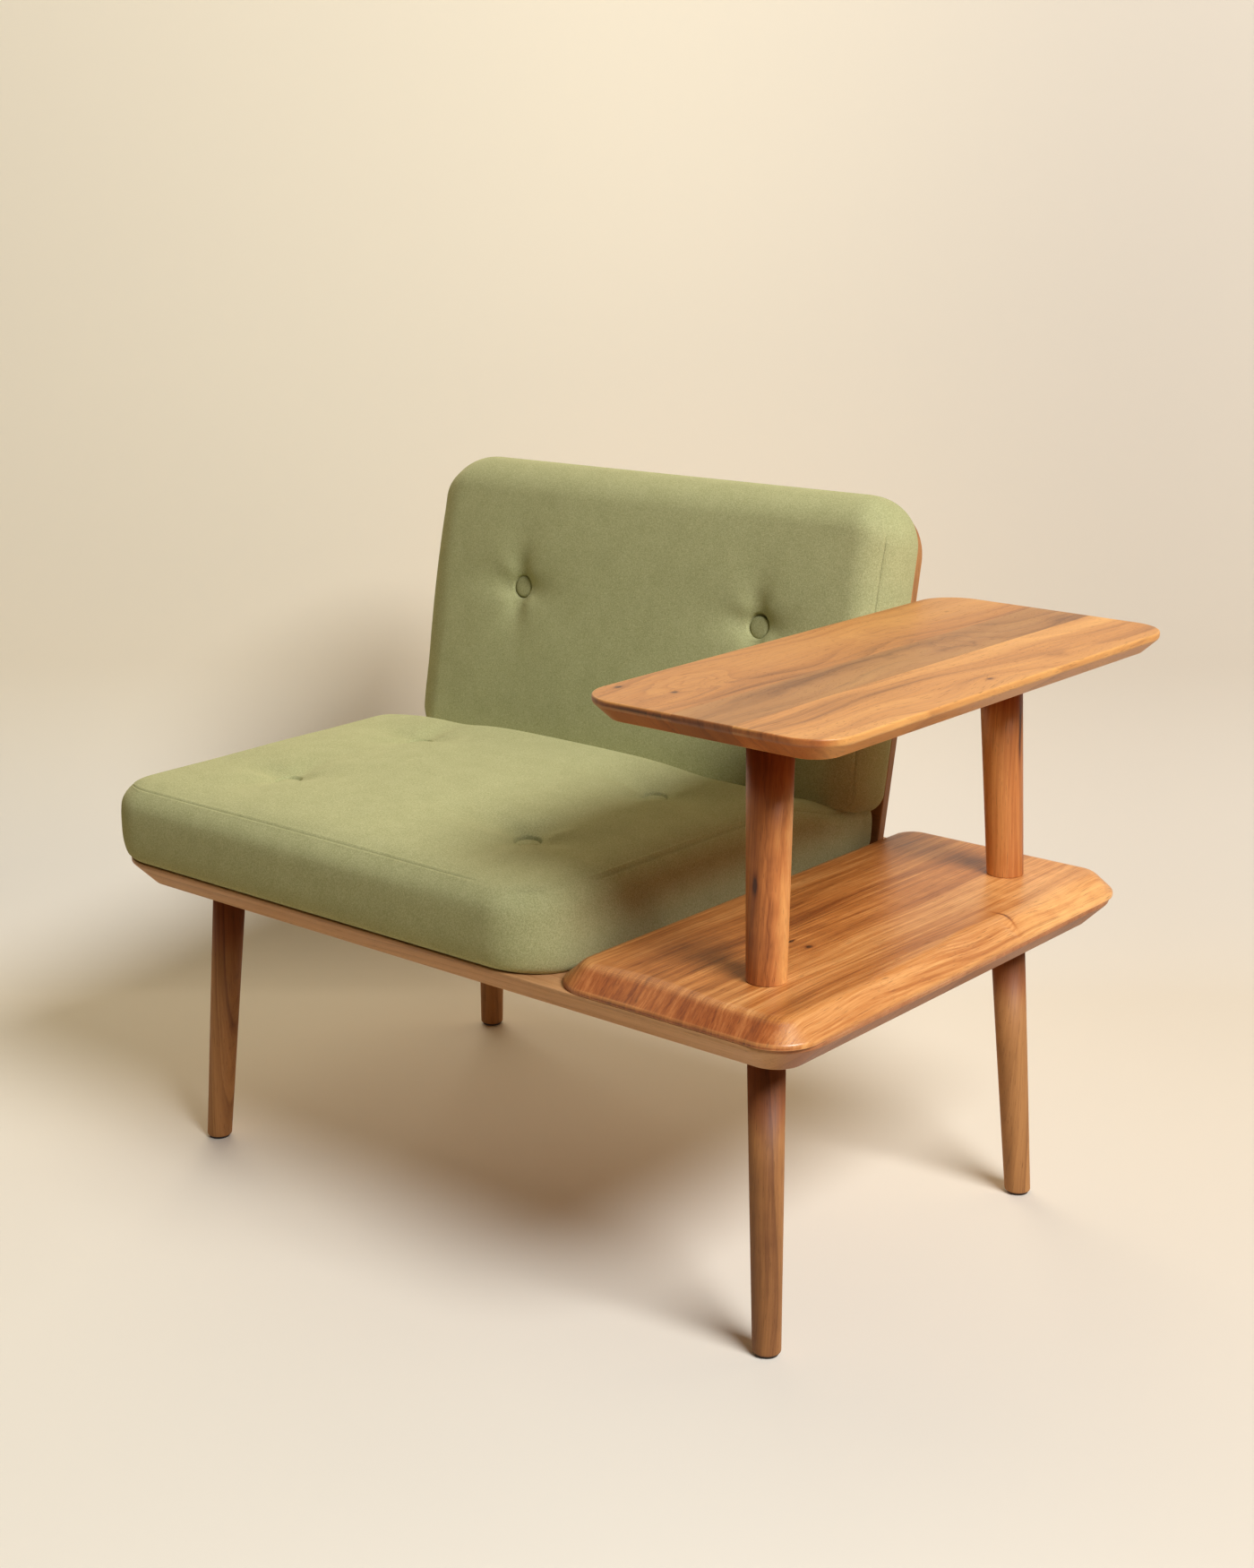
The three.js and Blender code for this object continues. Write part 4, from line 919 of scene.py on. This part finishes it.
class BENCH_OT_tables(bpy.types.Operator):
    """Low and high table: acacia slabs glued from planks, oiled"""

    bl_idname = "bench.tables"
    bl_label = "Tables"

    def execute(self, context):
        soft = context.scene.bench_sizes.edge_softness
        plan = rounded_rectangle(LOW_LEFT, BASE_HALF_WIDTH, -BASE_HALF_DEPTH, BASE_HALF_DEPTH,
                                 [LOW_CORNER] * 4, side_steps=200, corner_steps=30)
        profile = softened([
            (FLAT_INSET, BASE_TOP + LOW_GAP, 0), (0, BASE_TOP + LOW_GAP, soft * 0.7),
            (0, BASE_TOP + LOW_LIP, soft * 1.4), (LOW_BEVEL, LOW_TOP, soft * 5),
            (LOW_BEVEL + LOW_FLAT_INSET, LOW_TOP, 0)], steps=10)
        # Besides knots and a dent, these marks hold painted shade on the left and a painted reflection
        # at the back right
        marks = [on_top(LOW_TOP, *mark) for mark in LOW_FIGURE_AND_PAINTED_LIGHT]
        material = wood("acacia_low_table", LOW_TONES, shift=(0.2, 0.9, 0.0), bands=0.46,
                        rings=0.14, veins=0.42, fibres=0.78, streaks=0.60, marks=marks, gloss=0.34)
        put_board("low_table_slab", "low_table", plan, denser(profile, PLANED_SPACING), material,
                  "acacia", wander=planed_by_hand)

        plan = rounded_rectangle(HIGH_LEFT, HIGH_RIGHT, -HIGH_HALF_DEPTH, HIGH_HALF_DEPTH,
                                 [HIGH_CORNER] * 4, side_steps=60, corner_steps=24)
        profile = softened([
            (HIGH_BEVEL + FLAT_INSET, HIGH_BOTTOM, 0), (HIGH_BEVEL, HIGH_BOTTOM, soft),
            (0, HIGH_TOP - HIGH_LIP, soft * 1.4), (0, HIGH_TOP, soft * 1.5),
            (FLAT_INSET, HIGH_TOP, 0)], steps=6)
        # The last mark is painted shade along the high table's front lip
        marks = [on_top(HIGH_TOP, *mark) for mark in HIGH_MARKS] + [LIP_PAINTED_SHADE]
        material = wood("acacia_high_table", ACACIA_TONES, shift=(0.1, 0.3, 0.0), bands=0.85,
                        rings=0.32, wander=0.08, streaks=0.50, planks=HIGH_PLANKS, marks=marks)
        put_board("high_table_slab", "high_table", plan, profile, material, "acacia")
        return {"FINISHED"}


class BENCH_OT_back_board(bpy.types.Operator):
    """Back board: thin walnut board that leans behind the back cushion"""

    bl_idname = "bench.back_board"
    bl_label = "Back board"

    def execute(self, context):
        soft = context.scene.bench_sizes.edge_softness
        half = CUSHION_WIDTH / 2
        plan = rounded_rectangle(-half, half, -BOARD_THICKNESS, BOARD_HEIGHT,
                                 [BOARD_CORNER] * 2 + [BOARD_FOOT_CORNER] * 2, corner_steps=20)
        profile = softened([
            (FLAT_INSET, 0, 0), (0, 0, soft), (0, BOARD_THICKNESS, soft),
            (FLAT_INSET, BOARD_THICKNESS, 0)])
        profile[0, 0] = profile[-1, 0] = soft * 1.5

        def above_base(points):
            points = on_board(points)
            return np.maximum(points, [-np.inf, -np.inf, BASE_TOP + BACK_GAP])

        material = wood("walnut_back_board", WALNUT_TONES, turn=(0, 0, QUARTER), shift=(0.7, 0.1, 0.6),
                        grain=(0, 0, 1), contrast=0.8, gloss=0.5)
        put_board("back_board_panel", "back_board", plan, profile, material, "walnut",
                  placed=above_base)
        return {"FINISHED"}


def covered_button(name, form, x, y, lift, placed, cloth, node):
    """A covered button: a dome whose radius is the button's times cos a to the 0.6 and whose height
    is the rise times sin a, with its cloth folded under at the rim."""
    angle = np.linspace(0, QUARTER * BUTTON_SWEEP, BUTTON_STEPS)
    floor = crown_height(form, x, y) - BUTTON_SINK
    height = form.button_rim + (form.button_top - form.button_rim) * np.sin(angle)
    dome = np.stack([BUTTON_RADIUS * np.cos(angle) ** BUTTON_POWER, floor + height], axis=1)
    under = np.array([[BUTTON_RADIUS * share, floor + rise] for share, rise in BUTTON_FOLD])
    points, faces = turned(np.concatenate([under, dome]), standing(x, y), SMALL_STEPS)
    points[:, 2] += lift
    uv = points[np.concatenate(faces), :2]
    marks = {"seam": np.full(len(points), FAR_FROM_SEAM)}
    piece = put_mesh(name, placed(points), faces, cloth, "felt", [node], uv, marks)


class BENCH_OT_seat(bpy.types.Operator):
    """Seat cushion: crowned foam pad in felted wool with four sewn tufts and covered buttons"""

    bl_idname = "bench.seat"
    bl_label = "Seat cushion"

    def execute(self, context):
        cloth = felted_wool()
        points, faces, uv, seam = cushion(SEAT)
        points[:, 2] += BASE_TOP + SEAT_GAP
        piece = put_mesh("seat_cushion_felt", beside_low_table(points), faces, cloth, "felt",
                         ["seat_cushion"], uv, {"seam": seam})
        for number, (x, y) in enumerate(SEAT.tufts, start=1):
            covered_button(f"seat_button_dome_{number}", SEAT, x, y, BASE_TOP, lambda p: p, cloth,
                           f"seat_button_{number}")
        return {"FINISHED"}


class BENCH_OT_back(bpy.types.Operator):
    """Back cushion: reclined pad in felted wool with two sewn tufts and covered buttons"""

    bl_idname = "bench.back"
    bl_label = "Back cushion"

    def execute(self, context):
        cloth = bpy.data.materials["felted_wool"]
        points, faces, uv, seam = cushion(BACK)
        lean = smooth_step(points[:, 1], BACK.front, BACK.back)
        points[:, 1] += lean * (BACK_RAISED + BACK_TILT * points[:, 0])
        points[:, 2] += PAD_LIFT
        piece = put_mesh("back_cushion_felt", on_board(points), faces, cloth, "felt",
                         ["back_cushion"], uv, {"seam": seam})
        for number, (x, y) in enumerate(BACK.tufts, start=1):
            covered_button(f"back_button_dome_{number}", BACK, x, y, PAD_LIFT, on_board, cloth,
                           f"back_button_{number}")
        return {"FINISHED"}


class BENCH_OT_fittings(bpy.types.Operator):
    """Fittings: finishes of the screws, bolts, inserts, panels and brackets"""

    bl_idname = "bench.fittings"
    bl_label = "Fittings"

    def execute(self, context):
        steel = metal("drawn_steel", "#8b8c90", "#b4b5b8", 0.35)
        black_steel = metal("black_steel", "#1c1c1e", "#39393c", 0.5)
        plywood = birch_plywood()
        for name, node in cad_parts.items():
            if node.hide_render:
                continue
            finish = steel
            if name in ("bracket_left", "bracket_right"):
                finish = black_steel
            elif name.endswith("_panel"):
                finish = plywood
            node.data.materials.clear()
            node.data.materials.append(finish)
        return {"FINISHED"}


CAMERA_PLACE = (1.50759, -1.80439, 1.08023)
CAMERA_AZIMUTH, CAMERA_PITCH, CAMERA_ROLL = map(math.radians, (39.701, 15.594, 0.084))
CAMERA_LENS, SENSOR = 54.10, 36.0
LAMPS = (  # name, way to it, distance, width, height, power, colour
    ("key_lamp", (1.10, -0.25, 1.0), 4.5, 2.5, 1.5, 240.0, "#ffffff"),
    ("left_lamp", (-1.0, -0.05, 0.5), 4.0, 2.1, 2.1, 11.0, "#ffe9c4"),
    ("back_lamp", (-0.85, 0.62, 0.42), 3.5, 2.6, 1.8, 56.0, "#fcefd6"),
    ("top_lamp", (-0.3, 0.1, 1.0), 2.6, 2.0, 2.0, 10.0, "#ffedcc"),
)
SKY_LEVEL, SKY_COLOUR = 0.01, "#ffffff"
AROUND_COLOUR, AROUND_START, AROUND_END = "#e3d2b8", 2.2, 3.6
BOUNCE_SHARE, BOUNCE_TINT = 0.71, "#fff3da"
LAMPS_AIM = np.array([0.0, 0.0, 0.4])

# Level directions of the camera, and the paper sheet: its curve, how far it comes forward, how high
# it stands, half its width, and where its colours change, to painted shade at the right and up the
# backdrop
UP = np.array([0.0, 0.0, 1.0])
AHEAD = np.array([-math.sin(CAMERA_AZIMUTH), math.cos(CAMERA_AZIMUTH), 0.0])
RIGHT = np.array([math.cos(CAMERA_AZIMUTH), math.sin(CAMERA_AZIMUTH), 0.0])
PAPER_CURVE, PAPER_FORWARD, PAPER_HEIGHT, PAPER_HALF_WIDTH = 0.36, 7.0, 6.0, 6.0
EDGE_START, EDGE_END, WALL_END = -0.1, 0.8, 0.4


def background_seen(tree):
    """1 where a path shows the background: straight, in a glossy surface or through a clear one."""
    straight = add(tree, "LightPath", out="Is Camera Ray")
    glossy, clear = (straight.node.outputs[f"Is {way} Ray"] for way in ("Glossy", "Transmission"))
    shown = add(tree, "Math", (straight, glossy), operation="MAXIMUM")
    return add(tree, "Math", (shown, clear), operation="MAXIMUM")


class BENCH_OT_stage(bpy.types.Operator):
    """Stage: paper floor and backdrop, soft lamps and the camera"""

    bl_idname = "bench.stage"
    bl_label = "Stage"

    def execute(self, context):
        scene = context.scene
        scene.view_settings.view_transform = "Standard"
        self.sweep(scene)
        for lamp in LAMPS:
            self.lamp(scene, *lamp)
        world = scene.world or bpy.data.worlds.new("studio")
        scene.world = world
        world.use_nodes = True
        world.node_tree.nodes.clear()
        sky = add(world.node_tree, "Background", {
            "Color": linear(SKY_COLOUR), "Strength": SKY_LEVEL})
        around = add(world.node_tree, "Background", {"Color": linear(AROUND_COLOUR)})
        shown = add(world.node_tree, "MixShader", (background_seen(world.node_tree), sky, around))
        add(world.node_tree, "OutputWorld", {"Surface": shown})
        self.camera(scene)
        return {"FINISHED"}

    def sweep(self, scene):
        """Paper: a level floor that curves up into an upright backdrop square to the camera. Its
        profile is a straight line, a quarter circle and a straight line, carried sideways."""
        wall = scene.bench_sizes.backdrop_distance
        turn = np.linspace(0, QUARTER, 33)
        along = np.concatenate([
            [-PAPER_FORWARD], wall - PAPER_CURVE + PAPER_CURVE * np.sin(turn), [wall]])
        height = np.concatenate([[0.0], PAPER_CURVE - PAPER_CURVE * np.cos(turn), [PAPER_HEIGHT]])
        sideways = np.linspace(-PAPER_HALF_WIDTH, PAPER_HALF_WIDTH, 9)
        points = (along[:, None, None] * AHEAD + height[:, None, None] * UP
                  + sideways[None, :, None] * RIGHT + ORIGIN)
        faces = grid_faces(np.arange(len(along) * len(sideways)).reshape(len(along), -1))
        mesh = bpy.data.meshes.new("paper_sweep")
        mesh.from_pydata(points.reshape(-1, 3).tolist(), [], faces.tolist())
        mesh.materials.append(self.paper(scene.bench_colours))
        mesh.shade_smooth()
        sheet = bpy.data.objects.new("paper_sweep", mesh)
        sheet.visible_shadow = False  # the lamps that stand behind it light the bench too
        scene.collection.objects.link(sheet)

    def paper(self, colours):
        """Matt paper, warmer up the backdrop, and darker towards the right with painted shade. The
        light that it throws on the bench is weaker and warmer than it looks, as from a much smaller
        sheet. Far from the bench it fades to the even colour all around, and from behind the camera
        looks through it."""
        material, tree, coordinate = start_material("matt_paper")
        # Painted shade: the paper darkens towards the right
        away = add(tree, "VectorMath", (coordinate, RIGHT), out="Value", operation="DOT_PRODUCT")
        shaded_right = add(tree, "MapRange", {"Value": away, "From Min": EDGE_START, "From Max": EDGE_END},
                    interpolation_type="SMOOTHSTEP")
        height = add(tree, "SeparateXYZ", {"Vector": coordinate}, out="Z")
        raised = add(tree, "MapRange", {"Value": height, "From Max": WALL_END},
                     interpolation_type="SMOOTHSTEP")
        colour = add(tree, "Mix", {0: raised, 6: (*colours.paper, 1), 7: (*colours.paper_wall, 1)},
                     out=2, data_type="RGBA")
        colour = add(tree, "Mix", {0: shaded_right, 6: colour, 7: (*colours.paper_shaded_right, 1)},
                     out=2, data_type="RGBA")
        seen = background_seen(tree)
        share = add(tree, "MapRange", {"Value": seen, "To Min": BOUNCE_SHARE})
        thrown = add(tree, "Mix", {0: seen, 6: linear(BOUNCE_TINT), 7: linear("#ffffff")},
                     out=2, data_type="RGBA")
        colour = add(tree, "VectorMath", (colour, thrown), operation="MULTIPLY")
        colour = add(tree, "VectorMath", {0: colour, "Scale": share}, operation="SCALE")
        shader = add(tree, "BsdfDiffuse", {"Color": colour})
        far = add(tree, "VectorMath", (coordinate,), out="Value", operation="LENGTH")
        far = add(tree, "MapRange", {"Value": far, "From Min": AROUND_START, "From Max": AROUND_END},
                  interpolation_type="SMOOTHSTEP")
        far = add(tree, "Math", (far, seen), operation="MULTIPLY")
        around = add(tree, "Emission", {"Color": linear(AROUND_COLOUR)})
        shader = add(tree, "MixShader", (far, shader, around))
        behind = add(tree, "NewGeometry", out="Backfacing")
        hidden = add(tree, "Math", (behind, seen), operation="MULTIPLY")
        clear = add(tree, "BsdfTransparent")
        mixed = add(tree, "MixShader", (hidden, shader, clear))
        add(tree, "OutputMaterial", {"Surface": mixed})
        return material

    def lamp(self, scene, name, way, distance, width, height, power, colour):
        """A soft elliptical lamp, this far from the point it aims at."""
        lamp = bpy.data.lights.new(name, "AREA")
        lamp.shape, lamp.size, lamp.size_y = "ELLIPSE", width, height
        lamp.energy, lamp.color = power, linear(colour)[:3]
        holder = bpy.data.objects.new(name, lamp)
        way = Vector(way).normalized()
        holder.location = way * distance + Vector((LAMPS_AIM + ORIGIN).tolist())
        holder.rotation_mode = "QUATERNION"
        holder.rotation_quaternion = (-way).to_track_quat("-Z", "Y")
        scene.collection.objects.link(holder)

    def camera(self, scene):
        """The camera at its place, turned by its azimuth, pitch and roll."""
        camera = bpy.data.cameras.new("camera")
        camera.lens, camera.sensor_width = CAMERA_LENS, SENSOR
        holder = bpy.data.objects.new("camera", camera)
        ahead = AHEAD * math.cos(CAMERA_PITCH) - UP * math.sin(CAMERA_PITCH)
        right = RIGHT * math.cos(CAMERA_ROLL) + np.cross(RIGHT, ahead) * math.sin(CAMERA_ROLL)
        turn = Matrix(np.stack([right, np.cross(right, ahead), -ahead], axis=1).tolist())
        holder.matrix_world = Matrix.Translation(CAMERA_PLACE) @ turn.to_4x4()
        scene.collection.objects.link(holder)
        scene.camera = holder


OPERATORS = (BENCH_OT_base, BENCH_OT_legs, BENCH_OT_tables, BENCH_OT_back_board, BENCH_OT_seat,
             BENCH_OT_back, BENCH_OT_fittings, BENCH_OT_stage)


class BENCH_PT_panel(bpy.types.Panel):
    """The bench's pieces"""

    bl_label = "Telephone bench"
    bl_idname = "BENCH_PT_panel"
    bl_space_type = "VIEW_3D"
    bl_region_type = "UI"
    bl_category = "Bench"

    def draw(self, context):
        for group in (context.scene.bench_sizes, context.scene.bench_colours):
            for name in group.bl_rna.properties.keys():
                if name not in ("name", "rna_type"):
                    self.layout.prop(group, name)
        for operator in OPERATORS:
            self.layout.operator(operator.bl_idname)


CLASSES = (BenchSizes, BenchColours, *OPERATORS, BENCH_PT_panel)


def register():
    for item in CLASSES:
        bpy.utils.register_class(item)
    bpy.types.Scene.bench_sizes = bpy.props.PointerProperty(type=BenchSizes)
    bpy.types.Scene.bench_colours = bpy.props.PointerProperty(type=BenchColours)


def unregister():
    del bpy.types.Scene.bench_colours
    del bpy.types.Scene.bench_sizes
    for item in reversed(CLASSES):
        bpy.utils.unregister_class(item)


def main():
    """Makes the scene."""
    register()
    for operator in OPERATORS:
        group, name = operator.bl_idname.split(".")
        getattr(getattr(bpy.ops, group), name)()


if __name__ == "__main__":
    main()
